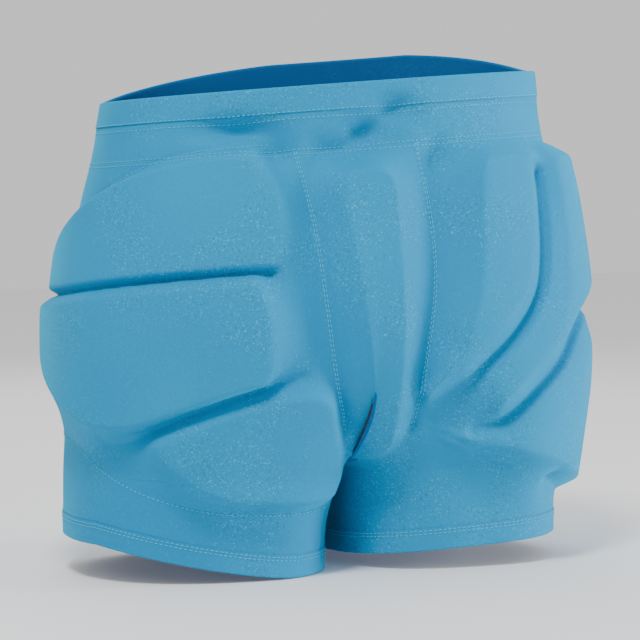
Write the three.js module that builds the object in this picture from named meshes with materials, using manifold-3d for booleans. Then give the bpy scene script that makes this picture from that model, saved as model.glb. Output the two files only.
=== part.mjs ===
// Padded impact shorts: a stretch-knit shell in sewn panels, with foam pads under cloth covers on the
// hips, centre front, tailbone and seat. Millimetres, +Z up, front towards -Y, wearer's right towards -X.
// The origin is at the middle of the floor that the leg hems stand on.
import * as THREE from 'three';
import { mergeVertices } from 'three/addons/utils/BufferGeometryUtils.js';
import Module from 'manifold-3d';

const wasm = await Module();
wasm.setup();

// ---------------------------------------------------------------- driving dimensions
// overall body of the garment
const frontHeight = 338;        // floor to the front rim
const crotchHeight = 72;        // floor to the crotch
const waistHalfWidth = 155;
const waistHalfDepth = 103;
const hipHalfWidth = 180;
const bellyDepth = 116;         // centre line to the front, at the fullest height
const seatDepth = 131;          // centre line to the back, at the fullest height
const legHalfWidth = 88;
const legHalfDepth = 92;
const legGap = 8;               // between the inside faces of the two hems
const outerRoundness = 2.3;     // superellipse power of the outer half of each leg and hip
const innerRoundness = 2.9;     // and of the half that faces the other leg

// rim and hems
const rimTilt = 10;             // the wearer's left rim sits this much higher, the right lower
const backRaise = 22;           // the back rim rises above the front one
const backRaiseLean = 0.25;     // share of that rise that moves towards the wearer's left
const rightHemRise = 25;        // the right hem rises to its outer side
const rightHemFlat = 50;        // its flat part reaches this far from the centre line
const leftHemSideSlope = 0.09;
const leftHemFrontSlope = 0.06;
const leftHemLift = 1.5;

// cloth, foam and the clearances between layers
const cloth = 1.2;
const coverCloth = 1.1;
const seamGap = 0.5;            // between neighbouring panels
const layerGap = 0.7;           // between one layer and the next
const leafGap = 0.4;            // between a folded band's leaves and what they hold
const casingDepth = 18;         // waistband, rim to its lower edge
const hemDepth = 16;
const bandGrip = 3;             // how far a band's leaves reach over the panel they hold
const elasticThickness = 1.4;
const elasticClearance = 0.3;   // between the elastic and each leaf of the casing
const yokeDepth = 44;           // rim to the yoke seam

// seams, as half-widths and heights on the shell
const gussetTop = 104;
const gussetBottom = 56;
const gussetRight = 22;
const gussetLeft = 26;
const sideBackSeam = 105;       // side-back seams, from the centre line
const cuffTopAtCentre = 30;     // the cuff seam's height at the centre line
const rightCuffSlope = 0.14;    // and its rise towards the outer side
const leftCuffSlope = 0.05;

// pads
const hipPadThickness = 18;
const middlePadThickness = 21;
const lowerPadThickness = 18;
const frontCrescentThickness = 15;
const centrePadThickness = 15;
const seatPadThickness = 14;
const tailbonePadThickness = 16;
const flexCut = 6;              // width of the cuts between foam segments
const padBackEdge = 138;        // where both hip pads end behind, in degrees round the leg

// mesh density
const columnStep = 15;          // degrees
const rowStep = 45;

// ---------------------------------------------------------------- small maths
const DEG = Math.PI / 180;
const clamp = (v, lo, hi) => Math.min(Math.max(v, lo), hi);
const signedPower = (v, p) => Math.sign(v) * Math.abs(v) ** p;

// A smooth curve through [position, value...] knots, as cubic Hermite spans.
function smoothCurve(knots) {
  const slopes = knots.map((knot, i) => {
    const before = knots[Math.max(i - 1, 0)];
    const after = knots[Math.min(i + 1, knots.length - 1)];
    return knot.map((_, k) => (after[k] - before[k]) / (after[0] - before[0]));
  });
  return (at) => {
    const x = clamp(at, knots[0][0], knots[knots.length - 1][0]);
    let i = knots.findIndex((knot) => knot[0] > x) - 1;
    if (i < 0) i = knots.length - 2;
    const [a, b] = [knots[i], knots[i + 1]];
    const span = b[0] - a[0];
    const t = (x - a[0]) / span;
    const u = 1 - t;
    return a.slice(1).map((_, k) => {
      const bend = t * u * (u * (slopes[i][k + 1] * span) - t * (slopes[i + 1][k + 1] * span));
      return a[k + 1] * u * u * (1 + 2 * t) + b[k + 1] * t * t * (3 - 2 * t) + bend;
    });
  };
}

const lineThrough = (knots) => {
  const curve = smoothCurve(knots);
  return (at) => curve(at)[0];
};

// ---------------------------------------------------------------- the body's surface
// Each half of the garment is one tube, leg and hip together. Its section is a superellipse about an
// axis that moves from the leg's middle, at the hem, to the centre line, at the waist.
const legAxis = legHalfWidth + legGap / 2;
const above = (share) => crotchHeight + share * (frontHeight - crotchHeight);
// [height, axis, inner, outer, front, back]
const sections = smoothCurve([
  [0, legAxis, legHalfWidth, legHalfWidth - 2, legHalfDepth, legHalfDepth],
  [0.55 * crotchHeight, legAxis, legHalfWidth + 0.4, legHalfWidth - 1, legHalfDepth + 1, legHalfDepth + 5],
  [crotchHeight, legAxis, legAxis, legHalfWidth, legHalfDepth + 5, legHalfDepth + 12],
  [above(0.09), 0.9 * legAxis, 1.16 * 0.9 * legAxis, hipHalfWidth - 0.9 * legAxis,
    bellyDepth - 14, seatDepth - 19],
  [above(0.22), 0.73 * legAxis, 0.6 * hipHalfWidth, hipHalfWidth - 0.73 * legAxis,
    bellyDepth - 6, seatDepth - 7],
  [above(0.44), 0.41 * legAxis, 0.72 * hipHalfWidth, hipHalfWidth - 1 - 0.41 * legAxis,
    bellyDepth, seatDepth],
  [above(0.67), 0.15 * legAxis, 0.83 * hipHalfWidth, hipHalfWidth - 9 - 0.15 * legAxis,
    bellyDepth - 5, seatDepth - 9],
  [above(0.82), 4, 0.86 * hipHalfWidth, waistHalfWidth + 3, waistHalfDepth + 3, waistHalfDepth + 9],
  [above(0.97), 0, waistHalfWidth, waistHalfWidth, waistHalfDepth, waistHalfDepth + 2],
  [above(1.12), 0, waistHalfWidth, waistHalfWidth - 3, waistHalfDepth - 2, waistHalfDepth],
]);
const waistShift = 4;           // the waist leans this much to the wearer's left
const leanStart = above(0.4);
const lean = (z) => waistShift * clamp((z - leanStart) / (frontHeight - leanStart), 0, 1);

// side is -1 on the wearer's right and 1 on the left. turn is 0 at the front of the leg, 90 at its outer
// side, 180 behind and 270 at the inner side.
function onBody(side, turn, z) {
  const [axis, inner, outer, front, back] = sections(z);
  const s = Math.sin(turn * DEG);
  const c = Math.cos(turn * DEG);
  const power = 2 / (s > 0 ? outerRoundness : innerRoundness);
  const across = signedPower(s, power) * (s > 0 ? outer : inner);
  const along = signedPower(c, power) * (c > 0 ? front : back);
  return new THREE.Vector3(side * (axis + across) + lean(z), -along, z);
}

// The point at height h outside the body's surface.
function skin(side, turn, z, h) {
  const step = 1.5;             // degrees; twice as many millimetres upwards
  const round = onBody(side, turn + step, z).sub(onBody(side, turn - step, z));
  const up = onBody(side, turn, z + 2 * step).sub(onBody(side, turn, z - 2 * step));
  const out = round.cross(up).multiplyScalar(side).normalize();
  return onBody(side, turn, z).addScaledVector(out, h);
}

// The two tubes run a little past the centre plane, into each other, and no further than the gap that
// the centre seams take out again.
const meeting = seamGap / 2;
function tubePoint(side, turn, z, h) {
  const p = skin(side, turn, z, h).setZ(z);
  const reach = Math.max(side * (p.x - lean(z)), -meeting);
  return p.setX(lean(z) + side * reach);
}

// ---------------------------------------------------------------- edges of the garment
function rimAt(side, turn) {
  const nearest = turn > 270 ? 0 : Math.min(turn, 180);
  const p = tubePoint(side, nearest, frontHeight, 0);
  const width = (p.x - waistShift) / waistHalfWidth;
  const depth = p.y / waistHalfDepth;
  return frontHeight + rimTilt * width + backRaise * clamp(depth + backRaiseLean * width, 0, 1) ** 1.5;
}

function hemAt(side, turn) {
  const p = onBody(side, turn, 0);
  if (side < 0) {
    const share = clamp((-p.x - rightHemFlat) / (2 * legHalfWidth - rightHemFlat), 0, 1);
    return rightHemRise * share ** 1.4;
  }
  return Math.max(0, leftHemLift + leftHemSideSlope * p.x - leftHemFrontSlope * p.y);
}

function cuffTopAt(side, turn) {
  const slope = side < 0 ? rightCuffSlope : leftCuffSlope;
  return cuffTopAtCentre + slope * Math.abs(onBody(side, turn, cuffTopAtCentre).x);
}

const raised = (edge, by) => (side, turn) => edge(side, turn) + by;

// ---------------------------------------------------------------- solids
function toManifold(geometry) {
  const bare = geometry.clone();
  bare.deleteAttribute('normal');
  bare.deleteAttribute('uv');
  const merged = mergeVertices(bare, 1e-4);
  return new wasm.Manifold(new wasm.Mesh({
    numProp: 3,
    vertProperties: new Float32Array(merged.attributes.position.array),
    triVerts: new Uint32Array(merged.index.array),
  }));
}

function toGeometry(solid) {
  const mesh = solid.getMesh();
  const geometry = new THREE.BufferGeometry();
  const positions = new Float32Array(mesh.numVert * 3);
  for (let i = 0; i < mesh.numVert; i += 1) {
    for (let k = 0; k < 3; k += 1) positions[i * 3 + k] = mesh.vertProperties[i * mesh.numProp + k];
  }
  geometry.setAttribute('position', new THREE.BufferAttribute(positions, 3));
  geometry.setIndex(new THREE.BufferAttribute(new Uint32Array(mesh.triVerts), 1));
  geometry.computeVertexNormals();
  return geometry;
}

// Triangles are given by their corner points, so the faces of a closed solid only need to meet.
function solidFrom(triangles) {
  const geometry = new THREE.BufferGeometry();
  const flat = new Float32Array(triangles.length * 9);
  triangles.forEach((corners, i) => corners.forEach((p, k) => p.toArray(flat, i * 9 + k * 3)));
  geometry.setAttribute('position', new THREE.BufferAttribute(flat, 3));
  return toManifold(geometry);
}

// Fills a grid of points with triangles. crossed splits each square along its other diagonal.
function quads(triangles, rows, flip, crossed = false) {
  for (let j = 0; j + 1 < rows.length; j += 1) {
    for (let i = 0; i + 1 < rows[j].length; i += 1) {
      const [a, b, c, d] = [rows[j][i], rows[j][i + 1], rows[j + 1][i + 1], rows[j + 1][i]];
      const pair = crossed ? [[a, b, d], [b, c, d]] : [[a, b, c], [a, c, d]];
      triangles.push(...pair.map((corners) => (flip ? corners.reverse() : corners)));
    }
  }
}

function roundTurns(step) {
  const turns = [];
  for (let turn = 0; turn <= 360; turn += step) turns.push(turn % 360);
  return turns;
}
const bodyTurns = roundTurns(columnStep);
const edgeTurns = roundTurns(2 * columnStep);

// Closes a stack of rings, from the lowest to the highest, into one filled solid of one tube. The squares
// above the crossing ring are split the other way.
function stackRings(side, rings, crossing = rings.length - 1) {
  const triangles = [];
  quads(triangles, rings.slice(0, crossing + 1), side < 0);
  quads(triangles, rings.slice(crossing), side < 0, true);
  const [first, last] = [rings[0], rings[rings.length - 1]];
  const [bottom, top] = [first, last].map((ring) => {
    const middle = new THREE.Vector3();
    ring.slice(1).forEach((p) => middle.addScaledVector(p, 1 / (ring.length - 1)));
    return middle;
  });
  for (let i = 0; i + 1 < first.length; i += 1) {
    const under = [bottom, first[i + 1], first[i]];
    const over = [top, last[i], last[i + 1]];
    triangles.push(side > 0 ? under : under.reverse(), side > 0 ? over : over.reverse());
  }
  return solidFrom(triangles);
}

// The whole garment, filled solid to h outside the body. Every layer has its corners on the same
// columns and rows, so two layers never cross.
const overrun = 2;              // rows past the rim and the floor
function filledBody(h) {
  const heights = [];
  const lowest = crotchHeight - rowStep * (Math.ceil(crotchHeight / rowStep) + overrun);
  for (let z = lowest; z < frontHeight + (overrun + 1) * rowStep; z += rowStep) heights.push(z);
  const ring = (side, z) => bodyTurns.map((turn) => tubePoint(side, turn, z, h));
  const tube = (side) => stackRings(side, heights.map((z) => ring(side, z)));
  return tube(-1).add(tube(1));
}

const bodies = new Map();
function body(h) {
  const key = h.toFixed(3);
  if (!bodies.has(key)) bodies.set(key, filledBody(h));
  return bodies.get(key);
}

const layer = (inside, outside) => body(outside).subtract(body(inside));

// A cutter that keeps what lies between two edges, on one tube or both. Its end faces are level across
// the wall at each turn.
const cutterDepth = 14;
const cutterReach = 50;
function between(low, high, sides = [-1, 1]) {
  const tubes = sides.map((side) => {
    const ring = (edge, h) => edgeTurns.map((turn) => tubePoint(side, turn, edge(side, turn), h));
    return stackRings(side, [ring(low, -cutterDepth), ring(low, cutterReach), ring(high, cutterReach),
      ring(high, -cutterDepth)], 1);
  });
  return tubes.length > 1 ? tubes[0].add(tubes[1]) : tubes[0];
}

function wall(inside, outside, low, high, sides) {
  return layer(inside, outside).intersect(between(low, high, sides));
}

// An outline of [x, z] points, seen from the front, made solid from y = from to y = to.
function prism(outline, from, to) {
  const shape = new THREE.Shape(outline.map(([x, z]) => new THREE.Vector2(x, z)));
  const geometry = new THREE.ExtrudeGeometry(shape, { depth: to - from, bevelEnabled: false });
  geometry.rotateX(Math.PI / 2).translate(0, to, 0);
  return toManifold(geometry);
}

const block = (x0, x1, y0, y1, z0, z1) => prism([[x0, z0], [x1, z0], [x1, z1], [x0, z1]], y0, y1);

// ---------------------------------------------------------------- materials and the group
const shorts = new THREE.Group();
const knitBlue = () => new THREE.MeshStandardMaterial({ color: 0x14a5d2, roughness: 0.75, metalness: 0 });
const foamGrey = () => new THREE.MeshStandardMaterial({ color: 0x3d4650, roughness: 0.95, metalness: 0 });
const elasticWhite = () => new THREE.MeshStandardMaterial({ color: 0xd8dcdf, roughness: 0.9, metalness: 0 });

function addPiece(name, solid, material) {
  const mesh = new THREE.Mesh(toGeometry(solid), material);
  mesh.name = name;
  shorts.add(mesh);
}

// ---------------------------------------------------------------- waistband
const far = 400;                // beyond the garment on every side
const pastEdge = 9;             // how far a band's pocket runs out of its open edge
const casingInside = -(coverCloth + leafGap);
const casingOutside = cloth + leafGap + coverCloth;
const casingLow = raised(rimAt, -casingDepth);
{
  const whole = wall(casingInside, casingOutside, casingLow, rimAt);
  const pocket = wall(-leafGap, cloth + leafGap, raised(casingLow, -pastEdge), raised(rimAt, -coverCloth));
  addPiece('waistband_casing', whole.subtract(pocket), knitBlue());
}
const yokeHigh = raised(casingLow, bandGrip);
{
  const middle = cloth / 2;
  const half = Math.min(elasticThickness, cloth + 2 * (leafGap - elasticClearance)) / 2;
  const low = raised(yokeHigh, seamGap);
  const high = raised(rimAt, -coverCloth - seamGap);
  addPiece('waist_elastic', wall(middle - half, middle + half, low, high), elasticWhite());
}

// ---------------------------------------------------------------- yokes
const yokeSeam = raised(rimAt, -yokeDepth);
{
  const yoke = wall(0, cloth, raised(yokeSeam, seamGap / 2), yokeHigh);
  addPiece('front_yoke', yoke.intersect(block(-far, far, -far, -seamGap / 2, 0, far)), knitBlue());
  addPiece('back_yoke', yoke.intersect(block(-far, far, seamGap / 2, far, 0, far)), knitBlue());
}

// ---------------------------------------------------------------- shell panels
// The two front seams, as x at each height: they close in towards the crotch.
const frontSeamRight = lineThrough([[100, -8], [128, -19], [184, -30], [238, -38], [300, -50], [345, -54]]);
const frontSeamLeft = lineThrough([[100, 30], [148, 37], [203, 44], [250, 42], [300, 34], [345, 30]]);
const seamHeights = [gussetTop, 128, 156, 184, 211, 238, 265, 300, far];

const torso = wall(0, cloth, raised(cuffTopAt, seamGap), raised(yokeSeam, -seamGap / 2));

function betweenFrontSeams(extra) {
  const right = seamHeights.map((z) => [frontSeamRight(z) - extra, z]);
  const left = seamHeights.map((z) => [frontSeamLeft(z) + extra, z]).reverse();
  return prism([...right, ...left], -far, extra);
}

// A panel cut on a curved seam can leave a thread-thin scrap beyond the seam; only the panel is kept.
const withoutScraps = (solid) => solid.decompose().reduce((a, b) => (b.volume() > a.volume() ? b : a));

const gussetBlock = (extra) => block(-gussetRight - extra, gussetLeft + extra, -far, far,
  gussetBottom - extra, gussetTop - seamGap + extra);
{
  const front = torso.intersect(betweenFrontSeams(0));
  addPiece('centre_front_panel', front.intersect(block(-far, far, -far, -1, gussetTop, far)), knitBlue());
  addPiece('crotch_gusset', torso.intersect(gussetBlock(0)), knitBlue());

  const rest = torso.subtract(betweenFrontSeams(seamGap)).subtract(gussetBlock(seamGap));
  for (const [side, name] of [[-1, 'right'], [1, 'left']]) {
    const spans = (x0, x1) => (side < 0 ? [-x1, -x0] : [x0, x1]);
    const centreLine = [0, leanStart, frontHeight, far].map((z) => [lean(z) + (side * seamGap) / 2, z]);
    const frontHalf = block(...spans(seamGap / 2, far), -far, 1, 0, far);
    const aroundSide = block(...spans(sideBackSeam, far), 0, far, 0, far);
    const seamX = side * (sideBackSeam - seamGap);
    const behind = prism([...centreLine, [seamX, far], [seamX, 0]], 1 + seamGap, far);
    addPiece(`${name}_side_panel`, withoutScraps(rest.intersect(frontHalf.add(aroundSide))), knitBlue());
    addPiece(`${name}_back_panel`, withoutScraps(rest.intersect(behind)), knitBlue());
  }
}

// ---------------------------------------------------------------- cuffs and hems
for (const [side, name] of [[-1, 'right'], [1, 'left']]) {
  const hemHigh = raised(hemAt, hemDepth);
  const panel = wall(0, cloth, raised(hemHigh, -bandGrip), cuffTopAt, [side]);
  addPiece(`${name}_leg_cuff`, panel, knitBlue());

  const whole = wall(casingInside, casingOutside, hemAt, hemHigh, [side]);
  const [pocketLow, pocketHigh] = [raised(hemAt, coverCloth), raised(hemHigh, pastEdge)];
  const pocket = wall(-leafGap, cloth + leafGap, pocketLow, pocketHigh, [side]);
  addPiece(`${name}_hem_band`, whole.subtract(pocket), knitBlue());
}

// ---------------------------------------------------------------- hip pads
const foamBase = cloth + layerGap;

// A cutter for a pad whose lower and upper edges are given as heights at each turn. grow widens it all
// round, square to its edges.
const turnLength = 2;           // millimetres along the body in one degree, near enough for an edge
const steepest = 3.5;
const shifted = (edge, by) => (turn) => {
  const slope = (edge(turn + 1) - edge(turn - 1)) / (2 * turnLength);
  return edge(turn) + by * Math.min(Math.hypot(1, slope), steepest);
};

const leastColumn = 3;          // degrees between a pad's end and its next column
const padRows = 2;
function padCutter({ side, from, to, low, high }, grow) {
  const turns = [from];
  for (let turn = -360 + columnStep / 2; turn <= 360; turn += columnStep) {
    if (turn > from + leastColumn && turn < to - leastColumn) turns.push(turn);
  }
  turns.push(to);
  const place = (turn, i) => {
    const zl = shifted(low, -grow)(turn);
    const zh = shifted(high, grow)(turn);
    const shift = i === 0 ? -1 : Number(i === turns.length - 1);
    const at = turn + (shift * grow) / turnLength;
    const column = [];
    for (let j = 0; j <= padRows; j += 1) column.push([at, zl + ((zh - zl) * j) / padRows]);
    return column;
  };
  const columns = turns.map(place);
  const rows = (h) => columns[0].map((_, j) => columns.map((column) => skin(side, ...column[j], h)));
  const [inner, outer] = [rows(-cutterDepth / 2), rows(cutterReach)];
  const last = outer.length - 1;
  const column = (grid, i) => grid.map((row) => row[i]);
  const lastTurn = turns.length - 1;
  const triangles = [];
  quads(triangles, outer, side < 0);
  quads(triangles, inner, side > 0);
  quads(triangles, [inner[0], outer[0]], side < 0);
  quads(triangles, [inner[last], outer[last]], side > 0);
  quads(triangles, [column(inner, 0), column(outer, 0)], side > 0);
  quads(triangles, [column(inner, lastTurn), column(outer, lastTurn)], side < 0);
  const half = side < 0 ? block(-far, -seamGap, -far, far, 0, far) : block(seamGap, far, -far, far, 0, far);
  return solidFrom(triangles).intersect(half);
}

const coverGrow = leafGap + coverCloth;

// A foam pad and the cloth cover over it, open towards the shell.
function addPad(name, cutter, thickness) {
  const top = foamBase + thickness;
  addPiece(`${name}_foam`, layer(foamBase, top).intersect(cutter(0)), foamGrey());
  const shell = layer(foamBase, top + coverGrow).intersect(cutter(coverGrow));
  const room = layer(0, top + leafGap).intersect(cutter(leafGap));
  addPiece(`${name}_cover`, shell.subtract(room), knitBlue());
}

// Right hip: a D-shaped pad. The first cut is nearly level, the second rises towards the front.
const rightTop = lineThrough([[14, 226], [18, 256], [24, 284], [32, 291], [44, 287], [58, 279], [71, 268],
  [86, 253], [102, 230], [120, 206], [padBackEdge, 192]]);
const firstCut = lineThrough([[0, 213], [padBackEdge, 186]]);
const secondCut = lineThrough([[-12, 147], [0, 138], [25, 118], [54, 97], [75, 104], [95, 122], [118, 152],
  [padBackEdge, 172]]);
const middleTop = lineThrough([[4, 150], [9, 178], [15, 202], [22, 207], [60, 200], [padBackEdge, 184]]);
const lowerTop = lineThrough([[-44, 76], [-34, 94], [-24, 109], [-12, 131], [0, 136], [25, 116], [37, 104]]);
const lowerEdge = lineThrough([[-44, 58], [-34, 51], [-16, 50], [0, 53], [11, 60], [20, 70], [31, 86],
  [37, 96]]);
const halfCut = flexCut / 2;
const upperPad = {
  side: -1,
  from: 14,
  to: padBackEdge,
  low: (turn) => firstCut(turn) + halfCut,
  high: (turn) => Math.max(rightTop(turn), firstCut(turn) + 4 * halfCut),
};
const middlePad = {
  side: -1,
  from: 4,
  to: padBackEdge - 3,
  low: (turn) => secondCut(turn) + halfCut,
  high: (turn) => Math.min(middleTop(turn), firstCut(turn) - halfCut),
};
const lowerPad = {
  side: -1,
  from: -44,
  to: 37,
  low: lowerEdge,
  high: (turn) => Math.min(lowerTop(turn), secondCut(turn) - halfCut) - 1,
};
addPad('right_hip_pad_upper', (grow) => padCutter(upperPad, grow), hipPadThickness);
addPad('right_hip_pad_middle', (grow) => padCutter(middlePad, grow), middlePadThickness);
addPad('right_hip_pad_lower', (grow) => padCutter(lowerPad, grow), lowerPadThickness);

// Left hip: three crescents that fan from the waist and close in towards the crotch.
const crescentFront = lineThrough([[-12, 127], [-3, 146], [4, 172], [10, 198], [14, 224], [18, 258],
  [22, 284], [28, 289], [46, 289]]);
const firstGroove = lineThrough([[-12, 115], [-3, 126], [8, 144], [23, 168], [32, 193], [38, 222], [42, 254],
  [46, 287]]);
const sideTop = lineThrough([[46, 287], [51, 292], [70, 291], [90, 279], [110, 254], [padBackEdge, 200]]);
const secondGroove = lineThrough([[-3, 98], [10, 108], [25, 128], [45, 146], [65, 150], [100, 148],
  [padBackEdge, 146]]);
const bottomEdge = lineThrough([[-10, 92], [0, 85], [12, 75], [30, 66], [46, 58], [70, 49], [90, 46],
  [115, 56], [padBackEdge, 76]]);
const frontCrescent = {
  side: 1,
  from: -12,
  to: 45,
  low: shifted(firstGroove, halfCut),
  high: (turn) => Math.max(crescentFront(turn), shifted(firstGroove, halfCut)(turn) + 2 * halfCut),
};
const sideCrescent = {
  side: 1,
  from: 3,
  to: padBackEdge,
  low: shifted(secondGroove, halfCut),
  high: (turn) => (turn < 46 ? shifted(firstGroove, -halfCut)(turn) : sideTop(turn) - halfCut),
};
const lowerCrescent = {
  side: 1,
  from: -8,
  to: padBackEdge - 3,
  low: bottomEdge,
  high: (turn) => Math.max(shifted(secondGroove, -halfCut)(turn), bottomEdge(turn) + 3 * halfCut),
};
addPad('left_hip_pad_front', (grow) => padCutter(frontCrescent, grow), frontCrescentThickness);
addPad('left_hip_pad_side', (grow) => padCutter(sideCrescent, grow), hipPadThickness);
addPad('left_hip_pad_lower', (grow) => padCutter(lowerCrescent, grow), hipPadThickness);

// ---------------------------------------------------------------- centre front, tailbone and seat pads
// An upright rounded outline: half-widths at its top and bottom, about a middle line that may lean.
const arcSteps = 4;
const topCorner = 14;           // radius of the two upper corners
function dropOutline({ top, bottom, xTop, xBottom, halfTop, halfBottom }, grow) {
  const points = [];
  const arc = (cx, cz, r, startAngle, endAngle) => {
    for (let k = 0; k <= arcSteps; k += 1) {
      const angle = (startAngle + (endAngle - startAngle) * (k / arcSteps)) * DEG;
      points.push([cx + r * Math.cos(angle), cz + r * Math.sin(angle)]);
    }
  };
  const topRound = Math.min(halfTop, topCorner);
  arc(xBottom, bottom + halfBottom, halfBottom + grow, 180, 360);
  arc(xTop + halfTop - topRound, top - topRound, topRound + grow, 0, 90);
  arc(xTop - halfTop + topRound, top - topRound, topRound + grow, 90, 180);
  return points;
}

function dropCutter(outline, front) {
  const [y0, y1] = front ? [-far, 0] : [0, far];
  return (grow) => prism(dropOutline(outline, grow), y0, y1);
}

addPad('centre_front_pad', dropCutter({
  top: 282, bottom: 84, xTop: -4, xBottom: 12, halfTop: 22, halfBottom: 14,
}, true), centrePadThickness);
addPad('tailbone_pad', dropCutter({
  top: 262, bottom: 136, xTop: 0, xBottom: 0, halfTop: 22, halfBottom: 15,
}, false), tailbonePadThickness);
addPad('right_seat_pad', dropCutter({
  top: 238, bottom: 108, xTop: -64, xBottom: -64, halfTop: 34, halfBottom: 30,
}, false), seatPadThickness);
addPad('left_seat_pad', dropCutter({
  top: 238, bottom: 108, xTop: 64, xBottom: 64, halfTop: 34, halfBottom: 30,
}, false), seatPadThickness);

// The origin goes to the middle of the floor under the whole garment.
const extent = new THREE.Box3().setFromObject(shorts);
const middle = extent.getCenter(new THREE.Vector3());
shorts.position.set(-middle.x, -middle.y, -extent.min.z);

export default shorts;
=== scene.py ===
# Padded impact shorts: a stretch-knit skin drawn over foam pads, sewn in panels, with a lining behind.
# The frame places the origin. The sizes repeat the part's own, with thinner foam at the right hip and the
# leg ends trimmed by up to 13 mm.
import math

import bmesh
import bpy
import numpy as np
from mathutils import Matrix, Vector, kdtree


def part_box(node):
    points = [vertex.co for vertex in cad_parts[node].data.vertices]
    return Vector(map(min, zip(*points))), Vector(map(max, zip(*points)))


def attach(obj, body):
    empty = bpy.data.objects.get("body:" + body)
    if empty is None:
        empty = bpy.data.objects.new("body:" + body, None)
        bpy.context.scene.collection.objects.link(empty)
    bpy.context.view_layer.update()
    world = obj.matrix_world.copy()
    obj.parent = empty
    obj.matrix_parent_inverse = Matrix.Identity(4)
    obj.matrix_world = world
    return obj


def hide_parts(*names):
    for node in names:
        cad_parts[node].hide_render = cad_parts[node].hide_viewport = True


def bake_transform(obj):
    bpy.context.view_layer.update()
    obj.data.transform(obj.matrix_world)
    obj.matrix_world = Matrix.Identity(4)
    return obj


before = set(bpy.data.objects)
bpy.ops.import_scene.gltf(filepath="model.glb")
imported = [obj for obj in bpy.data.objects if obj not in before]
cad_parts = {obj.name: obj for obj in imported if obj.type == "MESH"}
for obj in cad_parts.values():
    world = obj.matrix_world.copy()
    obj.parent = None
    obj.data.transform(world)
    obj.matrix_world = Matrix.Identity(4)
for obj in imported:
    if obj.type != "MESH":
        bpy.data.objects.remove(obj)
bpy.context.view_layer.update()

# ---------------------------------------------------------------- camera, floor and light
# The shorts stand on a pale floor under broad soft lamps, seen a little from the wearer's right.
MM = 0.001
scene = bpy.context.scene
camera_turn = math.radians(-18)
camera_away = 1.9
camera_height = 0.26
aim = (0.0, 0.0, 0.170)


def place_camera():
    data = bpy.data.cameras.new("camera")
    data.sensor_width = 36
    data.lens = 148.5
    data.shift_x = 0.011
    data.shift_y = 0.003
    camera = bpy.data.objects.new("camera", data)
    scene.collection.objects.link(camera)
    x = camera_away * math.sin(camera_turn)
    y = -camera_away * math.cos(camera_turn)
    camera.location = (x, y, camera_height)
    down = math.atan2(camera_height - aim[2], camera_away)
    camera.rotation_euler = (math.pi / 2 - down, math.radians(1.0), camera_turn)
    scene.camera = camera


def soft_lamp(name, place, power, size, colour=(1, 1, 1)):
    data = bpy.data.lights.new(name, "AREA")
    data.energy = power
    data.shape = "DISK"
    data.size = size
    data.color = colour
    lamp = bpy.data.objects.new(name, data)
    scene.collection.objects.link(lamp)
    lamp.location = place
    away = bpy.data.objects.new(name + "_aim", None).location - lamp.location
    lamp.rotation_euler = away.to_track_quat("-Z", "Y").to_euler()


def plain_surface(name, colour, roughness):
    material = bpy.data.materials.new(name)
    material.use_nodes = True
    shader = material.node_tree.nodes["Principled BSDF"]
    shader.inputs["Base Color"].default_value = (*colour, 1)
    shader.inputs["Roughness"].default_value = roughness
    return material


def lay_floor():
    half = 6.0
    mesh = bpy.data.meshes.new("floor")
    corners = [(-half, -half, 0), (half, -half, 0), (half, half, 0), (-half, half, 0)]
    mesh.from_pydata(corners, [], [(0, 1, 2, 3)])
    mesh.materials.append(plain_surface("pale_floor", (0.9, 0.9, 0.9), 0.8))
    floor = bpy.data.objects.new("floor", mesh)
    floor.location.z = -0.0005
    scene.collection.objects.link(floor)


place_camera()
lay_floor()
soft_lamp("key", (-0.6, -1.0, 1.9), 30, 0.5)
soft_lamp("side", (1.9, -0.5, 0.25), 34, 0.5)
soft_lamp("back", (0.2, 1.6, 1.4), 10, 1.4)
scene.world = bpy.data.worlds.new("studio")
scene.world.use_nodes = True
scene.world.node_tree.nodes["Background"].inputs["Color"].default_value = (1, 1, 1, 1)
scene.world.node_tree.nodes["Background"].inputs["Strength"].default_value = 0.8

# ---------------------------------------------------------------- the wearer's shape
# Every layer of cloth and foam lies at some height outside one smooth body: two tubes, leg and hip
# together, whose sections are superellipses. Lengths are in millimetres until a mesh is made.
front_height = 338
crotch_height = 72
waist_half_width = 155
waist_half_depth = 103
hip_half_width = 180
belly_depth = 116
seat_depth = 131
leg_half_width = 88
leg_half_depth = 92
leg_gap = 8
outer_roundness = 2.3
inner_roundness = 2.9
waist_shift = 4
leg_axis = leg_half_width + leg_gap / 2
right, left = -1, 1
# the frame's origin is at the middle of its floor; the body's is between the two leg axes
gusset_right, gusset_left = 22, 26
seam_gap = 0.5
origin_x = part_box("crotch_gusset")[0].x / MM + gusset_right
origin_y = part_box("front_yoke")[1].y / MM + seam_gap / 2
origin = np.array([origin_x, origin_y, 0])


def above(share):
    return crotch_height + share * (front_height - crotch_height)


def smooth_curve(knots):
    """A smooth curve through [position, value...] knots."""
    knots = np.array(knots, float)
    x, y = knots[:, 0], knots[:, 1:]
    order = np.arange(len(x))
    before = np.maximum(order - 1, 0)
    after = np.minimum(order + 1, len(x) - 1)
    slope = (y[after] - y[before]) / (x[after] - x[before])[:, None]

    def at(v):
        v = np.clip(np.asarray(v, float), x[0], x[-1])
        i = np.clip(np.searchsorted(x, v, side="right") - 1, 0, len(x) - 2)
        span = (x[i + 1] - x[i])[..., None]
        t = (v - x[i])[..., None] / span
        u = 1 - t
        bend = t * u * span * (u * slope[i] - t * slope[i + 1])
        return y[i] * u * u * (1 + 2 * t) + y[i + 1] * t * t * (3 - 2 * t) + bend

    return at


def line_through(knots):
    curve = smooth_curve(knots)
    return lambda v: curve(v)[..., 0]


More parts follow.
